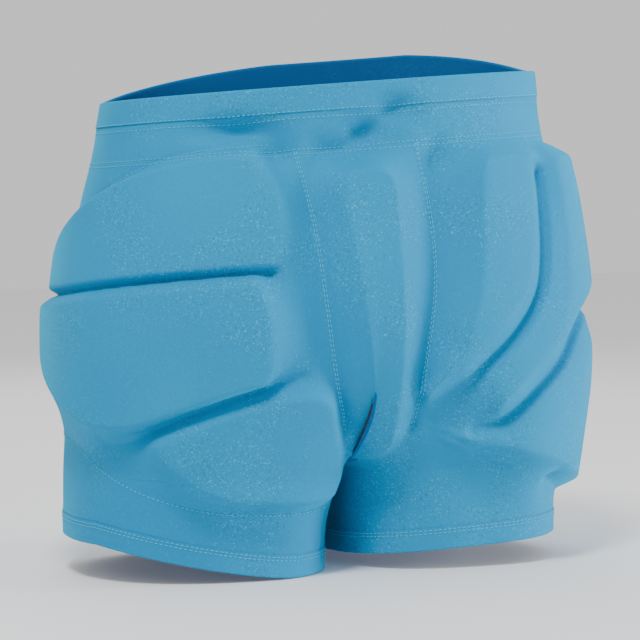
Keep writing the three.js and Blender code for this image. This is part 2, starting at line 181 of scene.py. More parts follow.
def ramp(v, low, high):
    """0 below low, 1 above high, and smooth between."""
    t = np.clip((v - low) / (high - low), 0, 1)
    return t * t * (3 - 2 * t)


# height: axis, inner half-width, outer half-width, front depth, back depth
sections = smooth_curve([
    [0, leg_axis, leg_half_width, leg_half_width - 2, leg_half_depth, leg_half_depth],
    [0.55 * crotch_height, leg_axis, leg_half_width + 0.4, leg_half_width - 1, leg_half_depth + 1,
     leg_half_depth + 5],
    [crotch_height, leg_axis, leg_axis, leg_half_width, leg_half_depth + 5, leg_half_depth + 12],
    [above(0.09), 0.9 * leg_axis, 1.16 * 0.9 * leg_axis, hip_half_width - 0.9 * leg_axis,
     belly_depth - 14, seat_depth - 19],
    [above(0.22), 0.73 * leg_axis, 0.6 * hip_half_width, hip_half_width - 0.73 * leg_axis,
     belly_depth - 6, seat_depth - 7],
    [above(0.44), 0.41 * leg_axis, 0.72 * hip_half_width, hip_half_width - 1 - 0.41 * leg_axis,
     belly_depth, seat_depth],
    [above(0.67), 0.15 * leg_axis, 0.83 * hip_half_width, hip_half_width - 9 - 0.15 * leg_axis,
     belly_depth - 5, seat_depth - 9],
    [above(0.82), 4, 0.86 * hip_half_width, waist_half_width + 3, waist_half_depth + 3,
     waist_half_depth + 9],
    [above(0.97), 0, waist_half_width, waist_half_width, waist_half_depth, waist_half_depth + 2],
    [above(1.12), 0, waist_half_width, waist_half_width - 3, waist_half_depth - 2, waist_half_depth],
])
lean_start = above(0.4)


def lean(z):
    return waist_shift * np.clip((z - lean_start) / (front_height - lean_start), 0, 1)


def on_body(side, turn, z):
    """turn is 0 at the front of a leg, 90 at its outer side, 180 behind, and -90 or 270 inside."""
    turn, z = np.broadcast_arrays(np.asarray(turn, float), np.asarray(z, float))
    axis, inner, outer, front, back = np.moveaxis(sections(z), -1, 0)
    s, c = np.sin(np.radians(turn)), np.cos(np.radians(turn))
    power = np.where(s > 0, 2 / outer_roundness, 2 / inner_roundness)
    across = np.sign(s) * np.abs(s) ** power * np.where(s > 0, outer, inner)
    along = np.sign(c) * np.abs(c) ** power * np.where(c > 0, front, back)
    x = side * (axis + across)
    if side == right:
        x = x - 9 * (1 - ramp(z, 0, 105)) * ramp(-across, 10, 80)
        x = x - 6 * (1 - ramp(z, 20, 130)) * ramp(across, 10, 80)
    else:
        x = x - 13 * (1 - ramp(z, 30, 150)) * ramp(across, 10, 80)
    return np.stack([x + lean(z), -along, z], -1)


def rim_at(side, turn):
    p = on_body(side, np.clip(turn, 0, 180), front_height)
    width = (p[..., 0] - waist_shift) / waist_half_width
    depth = p[..., 1] / waist_half_depth
    return front_height + 10 * width + 22 * np.clip(depth + 0.25 * width, 0, 1) ** 1.5


def hem_at(side, turn):
    p = on_body(side, turn, 0)
    if side == right:
        flat = 50
        return 25 * np.clip((-p[..., 0] - flat) / (2 * leg_half_width - flat), 0, 1) ** 1.4
    return np.maximum(0, 6 + 0.055 * p[..., 0] - 0.05 * p[..., 1])


def cuff_top_at(side, turn):
    slope = 0.14 if side == right else 0.05
    return 30 + slope * np.abs(on_body(side, turn, 30)[..., 0])


# ---------------------------------------------------------------- the pattern: rows and columns
# The cloth is laid out as one grid. Rows follow the hem, the cuff seam, the crotch, the yoke seam and
# the rim; columns follow the two front seams and the seams behind, so each panel is a block of it.
casing_depth = 18
hem_depth = 16
yoke_depth = 44
gusset_top = 104
side_back_seam = 105
front_seams = {
    right: line_through([[100, -8], [128, -19], [184, -30], [238, -38], [300, -50], [345, -54]]),
    left: line_through([[100, 30], [148, 37], [203, 44], [250, 42], [300, 34], [345, 30]]),
}
edge_rows = [0.25, 0.8, 1.6]
row_counts = [13, 20, 26, 34, 152, 21, 15]
column_counts = [44, 230, 64, 36]
column_marks = np.concatenate([[0], np.cumsum(column_counts)])
last_column = int(column_marks[-1])


def row_levels(side, turn):
    rim = rim_at(side, turn)
    hem = hem_at(side, turn)
    flat = np.zeros_like(rim)
    return np.stack([hem, hem + hem_depth, cuff_top_at(side, turn), flat + crotch_height,
                     flat + gusset_top, rim - yoke_depth, rim - casing_depth, rim])


def row_places():
    """For each row, the level it stands on and its share of the way to the next."""
    places = []
    for zone, count in enumerate(row_counts):
        shares = np.arange(count) / count
        if zone == 3:
            shares = shares ** 2
        if zone == 0:
            shares = np.sort(np.concatenate([shares, np.array(edge_rows) / hem_depth]))
        if zone == len(row_counts) - 1:
            shares = np.sort(np.concatenate([shares, 1 - np.array(edge_rows) / casing_depth]))
        places += [(zone, share) for share in shares]
    places.append((len(row_counts) - 1, 1.0))
    return places


places = row_places()
row_marks = [next(i for i, p in enumerate(places) if p[0] == zone) for zone in range(len(row_counts))]
hem_row, hem_top_row, cuff_row, crotch_row, gusset_row, yoke_row, casing_row = row_marks
rim_row = len(places) - 1
zone_of = np.array([p[0] for p in places])
share_of = np.array([p[1] for p in places])[:, None]


def column_turns(side, heights):
    """The turn of each column at each height: evenly spaced cloth between one seam and the next."""
    fine = np.linspace(-90, 270, 3601)
    table = np.zeros((len(heights), last_column + 1))
    half = gusset_right if side == right else gusset_left
    for k, z in enumerate(heights):
        p = on_body(side, fine, z)
        out = side * (p[:, 0] - lean(z))
        front, behind = slice(0, 1801), slice(3600, 1800, -1)
        centre_front = np.interp(0, out[front], fine[front]) if z > crotch_height else -90
        centre_back = np.interp(0, out[behind], fine[behind]) if z > crotch_height else 270
        seam_x = side * (front_seams[side](max(z, gusset_top)) - lean(z))
        seam_x = half + (seam_x - half) * ramp(z, gusset_top - 22, gusset_top)
        seams = [centre_front, np.interp(seam_x, out[front], fine[front]),
                 np.interp(side_back_seam, out[behind], fine[behind]),
                 np.interp(half, out[behind], fine[behind]), centre_back]
        step = np.linalg.norm(np.diff(p, axis=0), axis=1)
        length = np.concatenate([[0], np.cumsum(step)])
        at_seam = np.interp(seams, fine, length)
        for zone, count in enumerate(column_counts):
            along = np.linspace(at_seam[zone], at_seam[zone + 1], count + 1)
            table[k, column_marks[zone]:column_marks[zone + 1] + 1] = np.interp(along, length, fine)
    return table


def lay_out(side):
    heights = np.concatenate([np.arange(-6, crotch_height, 3.0),
                              crotch_height + np.array([0, 0.02, 0.1, 0.3, 0.6, 1, 2, 3, 4.5, 6, 8, 10]),
                              np.arange(crotch_height + 13, 380, 3.0)])
    table = column_turns(side, heights)
    turn = np.tile(np.interp(np.arange(last_column + 1), column_marks, [-60, -20, 130, 200, 240]),
                   (len(places), 1))
    columns = np.arange(last_column + 1)[None, :]
    for _ in range(6):
        levels = row_levels(side, turn)
        low = np.take_along_axis(levels, zone_of[None, :, None], 0)[0]
        high = np.take_along_axis(levels, zone_of[None, :, None] + 1, 0)[0]
        z = low + (high - low) * share_of
        k = np.clip(np.searchsorted(heights, z) - 1, 0, len(heights) - 2)
        t = np.clip((z - heights[k]) / (heights[k + 1] - heights[k]), 0, 1)
        turn = table[k, columns] * (1 - t) + table[k + 1, columns] * t
    return turn, z


def with_neighbours(values):
    """Adds to each side's grid the column beyond each centre line: the other side's above the crotch,
    and the same leg's below it."""
    padded_grid = {}
    for side in (right, left):
        own, other = values[side], values[-side]
        first = np.where(rows_above, other[:, 1:2].T, own[:, -2:-1].T).T
        last = np.where(rows_above, other[:, -2:-1].T, own[:, 1:2].T).T
        padded_grid[side] = np.concatenate([first, own, last], 1)
    return padded_grid


turns, heights = {}, {}
for side in (right, left):
    turns[side], heights[side] = lay_out(side)
rows_above = np.arange(len(places)) >= crotch_row
base = {side: on_body(side, turns[side], heights[side]) for side in (right, left)}


def grow_centre():
    """Both halves share the cloth at the centre lines, and it spans from one thigh to the other."""
    for side in (right, left):
        base[side][crotch_row, [0, -1]] = (0, 0, crotch_height)
        base[side][rows_above, 0, 0] = lean(heights[side][rows_above, 0])
        base[side][rows_above, -1, 0] = lean(heights[side][rows_above, -1])
    for column in (0, -1):
        shared = (base[right][:, column] + base[left][:, column]) / 2
        for side in (right, left):
            base[side][rows_above, column] = shared[rows_above]
    near = {}
    for side in (right, left):
        from_centre = np.abs(base[side][..., 0] - lean(heights[side]))
        near[side] = ramp(heights[side], 76, 94) * (1 - ramp(from_centre, 22, 52))
    for _ in range(160):
        wide = {side: with_neighbours_3d(base)[side] for side in (right, left)}
        for side in (right, left):
            middle = (wide[side][:, :-2] + wide[side][:, 2:]) / 2
            base[side] = base[side] + near[side][..., None] * 0.5 * (middle - base[side])
    for side in (right, left):
        low, high = ramp(heights[side], 40, 60), 1 - ramp(heights[side], 96, 125)
        near[side] = low * high * (1 - ramp(np.abs(base[side][..., 0]), 25, 60))
    for _ in range(90):
        wide = {side: with_neighbours_3d(base)[side] for side in (right, left)}
        for side in (right, left):
            across = (wide[side][:, :-2] + wide[side][:, 2:]) / 2
            up = np.concatenate([base[side][:1], base[side], base[side][-1:]], 0)
            middle = (across + (up[:-2] + up[2:]) / 2) / 2
            base[side] = base[side] + near[side][..., None] * 0.5 * (middle - base[side])
    base[right][crotch_row, [0, -1]] = base[left][crotch_row, [0, -1]] = (0, 0, crotch_height)


def with_neighbours_3d(values):
    return {side: np.stack([with_neighbours({s: values[s][..., k] for s in values})[side]
                            for k in range(3)], -1) for side in (right, left)}


grow_centre()


def normals_of(points):
    wide = with_neighbours_3d(points)
    found = {}
    for side in (right, left):
        along = wide[side][:, 2:] - wide[side][:, :-2]
        up = np.gradient(points[side], axis=0)
        normal = np.cross(along, up) * side
        size = np.linalg.norm(normal, axis=-1, keepdims=True)
        found[side] = normal / np.maximum(size, 1e-9)
    return found


out_of = normals_of(base)

# ---------------------------------------------------------------- the foam pads
# Each pad is closed-cell foam, cut from a sheet and ground to a bevel along its edges. The two hip pads
# are cut apart by flex cuts: the right one nearly level, the left one into a fan of crescents.
pad_back = 138
first_cut = line_through([[0, 213], [pad_back, 186]])
second_cut = line_through([[-12, 147], [0, 138], [25, 118], [54, 97], [75, 104], [95, 122], [118, 152],
                           [pad_back, 172]])
right_top = line_through([[11, 224], [14, 254], [20, 283], [30, 291], [44, 287], [58, 279], [71, 268],
                          [86, 253], [102, 230], [120, 206], [pad_back, 192]])
middle_top = line_through([[3, 150], [8, 178], [14, 202], [21, 209], [60, 202], [pad_back, 186]])
lower_top = line_through([[-44, 76], [-34, 94], [-24, 109], [-12, 131], [0, 136], [25, 116], [37, 104]])
lower_edge = line_through([[-44, 58], [-34, 51], [-16, 50], [0, 53], [11, 60], [20, 70], [31, 86],
                           [37, 96]])
crescent_front = line_through([[-12, 127], [-3, 146], [4, 172], [10, 198], [14, 224], [18, 258], [22, 284],
                               [28, 289], [46, 289]])
first_groove = line_through([[-12, 115], [-3, 126], [8, 144], [23, 168], [34, 193], [40, 222], [44, 254],
                             [47, 287]])
second_groove = line_through([[-3, 98], [10, 108], [25, 126], [38, 142], [54, 165], [75, 176], [100, 172],
                              [pad_back, 160]])
side_top = line_through([[46, 287], [51, 292], [70, 291], [90, 279], [110, 254], [pad_back, 200]])
bottom_edge = line_through([[-10, 92], [0, 85], [12, 75], [30, 66], [46, 58], [70, 49], [90, 46], [115, 56],
                            [pad_back, 76]])
# low, high, front and back are the widths of the bevels, and foot is how high each starts
hip_pads = {
    "right_hip_pad_upper": dict(
        side=right, span=(12, pad_back), thickness=12,
        low=lambda t: first_cut(t) + 1.4, high=lambda t: np.maximum(right_top(t), first_cut(t) + 8),
        bevels=dict(low=1.5, high=6, front=6, back=14), foot=dict(low=9, high=0, front=0, back=0)),
    "right_hip_pad_middle": dict(
        side=right, span=(3, pad_back - 3), thickness=17,
        low=lambda t: second_cut(t) + 1.4,
        high=lambda t: np.minimum(middle_top(t), first_cut(t) - 1.4),
        bevels=dict(low=[[40, 1.5], [58, 9], [pad_back, 12]], high=7, front=5, back=14),
        foot=dict(low=4, high=8, front=0, back=0)),
    "right_hip_pad_lower": dict(
        side=right, span=(-44, 37), thickness=14,
        low=lower_edge, high=lambda t: np.minimum(lower_top(t), second_cut(t) - 1.4),
        bevels=dict(low=4, high=8, front=6, back=4), foot=dict(low=2, high=4, front=2, back=0)),
    "left_hip_pad_front": dict(
        side=left, span=(-12, 46), thickness=15,
        low=lambda t: first_groove(t) + 1,
        high=lambda t: np.maximum(crescent_front(t), first_groove(t) + 3),
        bevels=dict(low=15, high=5, front=6, back=4), foot=dict(low=4, high=0, front=0, back=0)),
    "left_hip_pad_side": dict(
        side=left, span=(3, pad_back), thickness=17,
        low=lambda t: second_groove(t) + 1,
        high=lambda t: np.where(t < 46.5, first_groove(t) - 1, side_top(t)),
        bevels=dict(low=17, high=[[40, 24], [56, 10], [pad_back, 9]], front=8, back=14),
        foot=dict(low=4, high=[[42, 10], [50, 7], [pad_back, 5]], front=0, back=0)),
    "left_hip_pad_lower": dict(
        side=left, span=(-8, pad_back - 3), thickness=15,
        low=bottom_edge, high=lambda t: np.maximum(second_groove(t) - 1, bottom_edge(t) + 4),
        bevels=dict(low=6, high=20, front=8, back=14), foot=dict(low=6, high=9.5, front=0, back=0)),
}
# upright pads: the middle of the end circles, as x and height, and their radii
upright_pads = {
    "centre_front_pad": dict(face=-1, top=(-4, 258), bottom=(12, 99), radii=(23, 15), thickness=16,
                             bevel=4),
    "tailbone_pad": dict(face=1, top=(0, 240), bottom=(0, 152), radii=(22, 15), thickness=16, bevel=8),
    "right_seat_pad": dict(face=1, top=(-64, 204), bottom=(-64, 138), radii=(34, 30), thickness=14,
                           bevel=9),
    "left_seat_pad": dict(face=1, top=(64, 204), bottom=(64, 138), radii=(34, 30), thickness=14,
                          bevel=9),
}


def at_turn(value, turn):
    return line_through(value)(turn) if isinstance(value, list) else value


def distance_to(points, line):
    """How far each point lies from a line given by close points."""
    points = points.astype(np.float32)
    best = np.full(points.shape[:-1], 1e12, np.float32)
    for x, y, z in line.astype(np.float32):
        np.minimum(best, (points[..., 0] - x) ** 2 + (points[..., 1] - y) ** 2
                   + (points[..., 2] - z) ** 2, out=best)
    return np.sqrt(best)


def along_edge(side, first, last, edge, spacing=1.2):
    """Close points on the body along an edge given as a height at each turn."""
    t = np.linspace(first, last, 600)
    p = on_body(side, t, edge(t))
    length = np.concatenate([[0], np.cumsum(np.linalg.norm(np.diff(p, axis=0), axis=1))])
    t = np.interp(np.arange(0, length[-1], spacing), length, t)
    return on_body(side, t, edge(t))


def rounded_rise(share):
    """0 to 1 as a straight bevel that turns over softly at its top."""
    soft = 0.18
    over = np.clip((share - (1 - soft)) / (2 * soft), 0, 1)
    return np.where(share < 1 - soft, np.clip(share, 0, 1), 1 - soft + 2 * soft * (over - over * over / 2))


def hip_pad_height(pad, turn, z, points):
    """The height of a hip pad's face above its underside, and less than 0 outside the pad."""
    first, last = pad["span"]
    side = pad["side"]
    low, high = pad["low"](turn), pad["high"](turn)
    outside = (z < low) | (z > high) | (turn < first) | (turn > last)
    height = np.full(turn.shape, float(pad["thickness"]))
    ends = {"front": first, "back": last}
    for edge, width in pad["bevels"].items():
        if edge in ends:
            t = ends[edge]
            foot_z = float(pad["low"](t))
            ladder = np.linspace(foot_z, max(float(pad["high"](t)), foot_z + 1), 80)
            line = on_body(side, t, ladder)
        else:
            line = along_edge(side, first, last, pad[edge])
        foot = at_turn(pad["foot"][edge], turn)
        rise = rounded_rise(distance_to(points, line) / at_turn(width, turn))
        height = np.minimum(height, foot + (pad["thickness"] - foot) * rise)
    return np.where(outside, -1.0, height)


def inside_upright_pad(pad, x, z):
    """How far a place lies inside an upright pad's outline, and less than 0 outside it."""
    (top_x, top_z), (bottom_x, bottom_z) = pad["top"], pad["bottom"]
    share = np.clip((z - bottom_z) / (top_z - bottom_z), 0, 1)
    middle = bottom_x + (top_x - bottom_x) * share
    radius = pad["radii"][1] + (pad["radii"][0] - pad["radii"][1]) * share
    beyond = np.where(z > top_z, z - top_z, np.minimum(z - bottom_z, 0))
    power = 2.6
    away = (np.abs(x - middle) ** power + np.abs(beyond) ** power) ** (1 / power)
    return radius - away


def upright_pad_height(pad, x, y, z):
    inside = inside_upright_pad(pad, x, z)
    height = pad["thickness"] * rounded_rise(inside / pad["bevel"])
    return np.where((inside <= 0) | (y * pad["face"] < 0), -1.0, height)


foam = {side: np.full(turns[side].shape, -1.0) for side in (right, left)}
for pad in hip_pads.values():
    side = pad["side"]
    foam[side] = np.maximum(foam[side], hip_pad_height(pad, turns[side], heights[side], base[side]))
for pad in upright_pads.values():
    for side in (right, left):
        x, y, z = np.moveaxis(base[side], -1, 0)
        foam[side] = np.maximum(foam[side], upright_pad_height(pad, x, y, z))

# ---------------------------------------------------------------- the cloth over the pads
# The knit is stretched over the foam and held at its seams and topstitching, so between them it spans
# like a taut skin: it is relaxed row by row until it pulls evenly, and it lies on whatever it meets.
cloth = 1.0
skin_clearance = 1.2            # between the body's surface and the inside of the outer cloth
shortest_step = 0.35            # keeps a crowded cell from taking over, in millimetres
cloth_pull = 1 / 150            # how hard the rounded body draws the spanning cloth in, per millimetre
right_stitch = line_through([[-46, 46], [-18, 44], [0, 46], [18, 52], [38, 62], [62, 77], [83, 91],
                             [106, 96], [120, 114], [pad_back, 150]])
right_arc = line_through([[22, 296], [32, 293.5], [44, 290], [58, 282], [71, 271], [86, 256], [102, 233],
                          [120, 209], [pad_back, 195]])
hold = {side: np.full(turns[side].shape, np.nan) for side in (right, left)}


def hold_line(side, first, last, edge, height, width=1.1):
    near = distance_to(base[side], along_edge(side, first, last, edge)) < width
    hold[side] = np.where(near, height, hold[side])


for side in (right, left):
    yoke_part = turns[side][yoke_row] < 24 if side == right else turns[side][yoke_row] < 400
    yoke_part = yoke_part | (turns[side][yoke_row] > 145)
    hold[side][yoke_row, yoke_part] = -0.4
    hold[side][casing_row] = 0.8
    hold[side][hem_top_row] = 0.2
    hold[side][gusset_row:yoke_row, column_marks[1]] = 0.4
    hold[side][gusset_row:yoke_row, column_marks[2]] = 0.4
hold_line(right, 14, 52, first_cut, 1.5, 1.0)
hold_line(right, 52, pad_back, first_cut, 2.5, 1.0)
hold_line(right, -3, 60, second_cut, 1.5, 1.0)
hold_line(left, -12, 46, first_groove, 4.0, 1.0)
hold_line(left, -2, pad_back, second_groove, 4.0, 1.0)
hold_line(left, 50, pad_back, lambda t: side_top(t) + 4, 0.3)
hold_line(left, 30, pad_back, lambda t: bottom_edge(t) - 4, 0.3)
hold_line(right, -46, pad_back, right_stitch, 0.3)
hold_line(right, 22, pad_back, right_arc, -0.6, 1.4)


for name in ("tailbone_pad", "right_seat_pad", "left_seat_pad"):
    for side in (right, left):
        x, y, z = np.moveaxis(base[side], -1, 0)
        beyond_edge = -inside_upright_pad(upright_pads[name], x, z)
        hold[side] = np.where((beyond_edge > 2.6) & (beyond_edge < 4.2) & (y > 0), 0.3, hold[side])


def stretch_over(foam_top, rounds=1400):
    least = {side: np.maximum(foam_top[side], 0) for side in (right, left)}
    weights = {}
    wide = with_neighbours_3d(base)
    for side in (right, left):
        along = np.linalg.norm(np.diff(wide[side], axis=1), axis=-1)
        up = np.linalg.norm(np.diff(base[side], axis=0), axis=-1)
        up = np.concatenate([up[:1], up, up[-1:]], 0)
        west, east = along[:, :-1], along[:, 1:]
        south, north = up[:-1], up[1:]
        weights[side] = [(1 / np.maximum(w, shortest_step) ** 2).astype(np.float32)
                         for w in (west, east, south, north)]
    height = {side: least[side].astype(np.float32) for side in (right, left)}
    held = {side: ~np.isnan(hold[side]) for side in (right, left)}
    for _ in range(rounds):
        wide = with_neighbours(height)
        for side in (right, left):
            w, e, s, n = weights[side]
            grid = wide[side]
            below = np.concatenate([grid[:1, 1:-1], grid[:-1, 1:-1]], 0)
            over = np.concatenate([grid[1:, 1:-1], grid[-1:, 1:-1]], 0)
            pulled = w * grid[:, :-2] + e * grid[:, 2:] + s * below + n * over - cloth_pull
            pulled = pulled / (w + e + s + n)
            pulled = np.maximum(pulled, least[side])
            height[side] = np.where(held[side], np.minimum(hold[side], 30), pulled).astype(np.float32)
    return height


def soften(height, rounds):
    for _ in range(rounds):
        wide = with_neighbours(height)
        for side in (right, left):
            across = (wide[side][:, :-2] + 2 * height[side] + wide[side][:, 2:]) / 4
            tall = np.concatenate([across[:1], across, across[-1:]], 0)
            height[side] = (tall[:-2] + 2 * tall[1:-1] + tall[2:]) / 4
    return height


hollows = [  # where the cloth above a pad's upper edge falls in: x, height, half-width, half-height, depth
    (-86, 305, 22, 9, 11),
    (-62, 288, 12, 15, 9),
    (-20, 290, 19, 12, 10),
    (2, 304, 17, 11, 12),
    (22, 319, 15, 9, 9),
    (52, 284, 9, 13, 6),
    (-36, 272, 9, 26, 3),
]


def hollow_at(points):
    depth = np.zeros(points.shape[:-1])
    for x, z, half_x, half_z, deep in hollows:
        spread = ((points[..., 0] - x) / half_x) ** 2 + ((points[..., 2] - z) / half_z) ** 2
        depth += deep * np.exp(-spread) * (points[..., 1] < 0)
    return depth


foam_clearance = 0.7
over_foam = {side: np.where(foam[side] > 0, foam[side] + foam_clearance, -1) for side in (right, left)}
lift = soften(stretch_over(over_foam), 2)
folds = [  # small pinched folds where the crescents meet: x and height at each end, how high, how wide
    (40, 106, 78, 92, 1.8, 2.2),
    (46, 99, 74, 84, 1.6, 2.0),
    (60, 97, 92, 95, 1.4, 2.4),
    (78, 84, 108, 72, 1.3, 2.2),
    (-20, 92, -2, 82, 1.4, 2.0),
]


def folds_at(points):
    """How high the small folds stand on the front of the cloth."""
    rise = np.zeros(points.shape[:-1])
    for x0, z0, x1, z1, high, wide in folds:
        run_x, run_z = x1 - x0, z1 - z0
        share = ((points[..., 0] - x0) * run_x + (points[..., 2] - z0) * run_z) / (run_x**2 + run_z**2)
        on = np.clip(share, 0, 1)
        away = np.hypot(points[..., 0] - x0 - on * run_x, points[..., 2] - z0 - on * run_z)
        fade = np.sin(math.pi * (0.12 + 0.76 * on))
        rise += high * np.exp(-((away / wide) ** 2)) * (points[..., 1] < 0) * fade
    return rise


hollow = {side: hollow_at(base[side]) for side in (right, left)}
lift = {side: lift[side] + folds_at(base[side]) for side in (right, left)}
skin_out = {side: lift[side] + skin_clearance + cloth - hollow[side] for side in (right, left)}


def raised_by(height):
    return {side: base[side] + out_of[side] * height[side][..., None] for side in (right, left)}


outer_face = raised_by(skin_out)
outer_normal = normals_of(outer_face)

# ---------------------------------------------------------------- cutting panels from the pattern
# A panel is a block of the grid made into a thin closed sheet, with the knit's rows in its UV map.
columns_each = last_column + 1
side_start = {right: 0, left: len(places) * columns_each}
number = {side: side_start[side] + np.arange(len(places) * columns_each).reshape(len(places), -1)
          for side in (right, left)}
shared = np.arange(2 * len(places) * columns_each)
for side in (right, left):
    shared[number[side][:crotch_row + 1, -1]] = number[side][:crotch_row + 1, 0]
for column in (0, -1):
    shared[number[left][crotch_row:, column]] = number[right][crotch_row:, column]
shared[number[left][crotch_row, [0, -1]]] = number[right][crotch_row, 0]
shared[number[right][crotch_row, -1]] = number[right][crotch_row, 0]


def flatten(grids):
    return np.concatenate([grids[side].reshape(-1, *grids[side].shape[2:]) for side in (right, left)])


along_cloth = {}
for side in (right, left):
    steps = np.linalg.norm(np.diff(base[side], axis=1), axis=-1)
    run = np.concatenate([np.zeros((len(places), 1)), np.cumsum(steps, 1)], 1)
    along_cloth[side] = np.stack([side * run, heights[side]], -1) * MM
cloth_uv = flatten(along_cloth)


def block(side, rows, columns, stride=1):
    """The faces of a block of the grid, from its first row and column to its last."""
    r = np.unique(np.concatenate([np.arange(rows[0], rows[1], stride), [rows[1]]]))
    c = np.unique(np.concatenate([np.arange(columns[0], columns[1], stride), [columns[1]]]))
    grid = number[side][np.ix_(r, c)]
    faces = np.stack([grid[:-1, :-1], grid[:-1, 1:], grid[1:, 1:], grid[1:, :-1]], -1).reshape(-1, 4)
    return faces if side == left else faces[:, ::-1]


def cloth_sheet(name, blocks, outside, inside, materials):
    """Closes blocks of the grid into one sheet, with its outer face, inner face and edges."""
    pattern = np.concatenate(blocks)
    faces = shared[pattern]
    keep = np.array([len(set(f)) for f in faces.tolist()]) == 4
    pattern, faces = pattern[keep], faces[keep]
    used, local = np.unique(faces, return_inverse=True)
    local = local.reshape(faces.shape)
    count = len(used)
    edges = np.concatenate([local[:, [k, (k + 1) % 4]] for k in range(4)])
    codes = edges[:, 0] * count + edges[:, 1]
    rim = edges[~np.isin(codes, edges[:, 1] * count + edges[:, 0])]
    walls = np.stack([rim[:, 1], rim[:, 0], rim[:, 0] + count, rim[:, 1] + count], 1)
    every = np.concatenate([local, local[:, ::-1] + count, walls])
    mesh = bpy.data.meshes.new(name)
    points = np.concatenate([flatten(outside)[used], flatten(inside)[used]]) + origin
    mesh.from_pydata((points * MM).tolist(), [], every.tolist())
    uv = cloth_uv[used]
    loops = np.concatenate([cloth_uv[pattern], cloth_uv[pattern[:, ::-1]],
                            np.concatenate([uv, uv])[walls]]).reshape(-1)
    mesh.uv_layers.new(name="cloth").data.foreach_set("uv", loops.astype(np.float32))
    for material in materials:
        mesh.materials.append(material)
    slots = np.zeros(len(every), np.int32)
    slots[len(local):2 * len(local)] = len(materials) - 1
    mesh.polygons.foreach_set("material_index", slots)
    mesh.shade_smooth()
    mesh.set_sharp_from_angle(angle=math.radians(60))
    mesh.validate()
    piece = bpy.data.objects.new(name, mesh)
    scene.collection.objects.link(piece)
    return piece


# ---------------------------------------------------------------- the knit
# Fine polyester-elastane knit: bright cyan outside with a soft sheen and a heathered grain. The wrong side
# is a deeper blue, partly the knit's own wrong side and partly painted shade for the shaded inside of the
# shorts.
class Signal:
    """One value in a material's nodes. Sums, differences and products add Math nodes."""

    def __init__(self, tree, socket):
        self.tree = tree
        self.socket = socket

    def combine(self, operation, first, second):
        return wire(self.tree, "ShaderNodeMath", {"operation": operation}, {0: first, 1: second})

    def __add__(self, other):
        return self.combine("ADD", self, other)

    def __sub__(self, other):
        return self.combine("SUBTRACT", self, other)

    def __rsub__(self, other):
        return self.combine("SUBTRACT", other, self)

    def __mul__(self, other):
        return self.combine("MULTIPLY", self, other)

    __radd__ = __add__
    __rmul__ = __mul__


def wire(tree, kind, settings, inputs, output=0):
    """Adds a node with its settings, links or sets its inputs, and gives back one output."""
    node = tree.nodes.new(kind)
    for name, value in settings.items():
        setattr(node, name, value)
    for name, value in inputs.items():
        if isinstance(value, Signal):
            tree.links.new(value.socket, node.inputs[name])
        else:
            node.inputs[name].default_value = value
    return Signal(tree, node.outputs[output])


def mix_colour(tree, share, first, second):
    settings = {"data_type": "RGBA", "clamp_factor": True}
    node = tree.nodes.new("ShaderNodeMix")
    for name, value in settings.items():
        setattr(node, name, value)
    colours = [s for s in node.inputs if s.type == "RGBA"]
    for socket, value in ((node.inputs[0], share), (colours[0], first), (colours[1], second)):
        if isinstance(value, Signal):
            tree.links.new(value.socket, socket)
        else:
            socket.default_value = value if isinstance(value, float) else (*value, 1)
    return Signal(tree, [s for s in node.outputs if s.type == "RGBA"][0])


def knit(name, ground, light, dark, sheen, grain=1.0):
    """Jersey knit: wales and courses in the bump, and a heather of lighter and darker loops."""
    material = bpy.data.materials.new(name)
    material.use_nodes = True
    tree = material.node_tree
    shader = tree.nodes["Principled BSDF"]
    uv = wire(tree, "ShaderNodeUVMap", {"uv_map": "cloth"}, {})
    place = wire(tree, "ShaderNodeTexCoord", {}, {}, 3)

    def noise(scale, detail=2.0, source=None, rough=0.5):
        return wire(tree, "ShaderNodeTexNoise", {}, {"Vector": source or place, "Scale": scale,
                    "Detail": detail, "Roughness": rough}, 0)

    def band(value, low, high):
        return wire(tree, "ShaderNodeMapRange", {"interpolation_type": "SMOOTHSTEP"},
                    {"Value": value, "From Min": low, "From Max": high})

    loops = noise(760, 1.0)
    patches = band(noise(17, 3.0), 0.44, 0.60)
    flecks = band(loops, 0.60, 0.72) * (0.25 + 0.75 * patches) * grain
    pits = band(1 - loops, 0.60, 0.74) * (0.15 + 0.85 * patches) * grain
    washed = band(noise(7, 2.0), 0.35, 0.70)
    colour = mix_colour(tree, washed * 0.35, ground, light)
    colour = mix_colour(tree, flecks * 0.9, colour, (light[0] * 2 + 0.03, light[1] * 1.35, light[2] * 1.15))
    colour = mix_colour(tree, pits * 0.8, colour, dark)
    tree.links.new(colour.socket, shader.inputs["Base Color"])
    rough = 0.62 + 0.14 * loops
    tree.links.new(rough.socket, shader.inputs["Roughness"])
    shader.inputs["Specular IOR Level"].default_value = 0.12
    shader.inputs["Sheen Weight"].default_value = sheen
    shader.inputs["Sheen Roughness"].default_value = 0.3
    shader.inputs["Sheen Tint"].default_value = (0.02, 0.80, 1.0, 1)
    split = tree.nodes.new("ShaderNodeSeparateXYZ")
    tree.links.new(uv.socket, split.inputs[0])
    wale = wire(tree, "ShaderNodeMath", {"operation": "SINE"}, {0: Signal(tree, split.outputs[0]) * 5200.0})
    course = wire(tree, "ShaderNodeMath", {"operation": "SINE"},
                  {0: Signal(tree, split.outputs[1]) * 6600.0})
    weave = wale * course * 0.5 + loops * 1.2
    bump = wire(tree, "ShaderNodeBump", {}, {"Strength": 0.35, "Distance": 0.0004, "Height": weave})
    tree.links.new(bump.socket, shader.inputs["Normal"])
    return material


knit_outside = knit("knit_outside", (0.0, 0.25, 0.50), (0.0, 0.32, 0.57), (0.05, 0.14, 0.20), 0.4)
# the inside blue is partly the wrong side's own colour and partly painted shade for the dim inside
knit_inside = knit("knit_inside", (0.001, 0.10, 0.30), (0.002, 0.14, 0.37), (0.001, 0.06, 0.18), 0.1, 0.5)

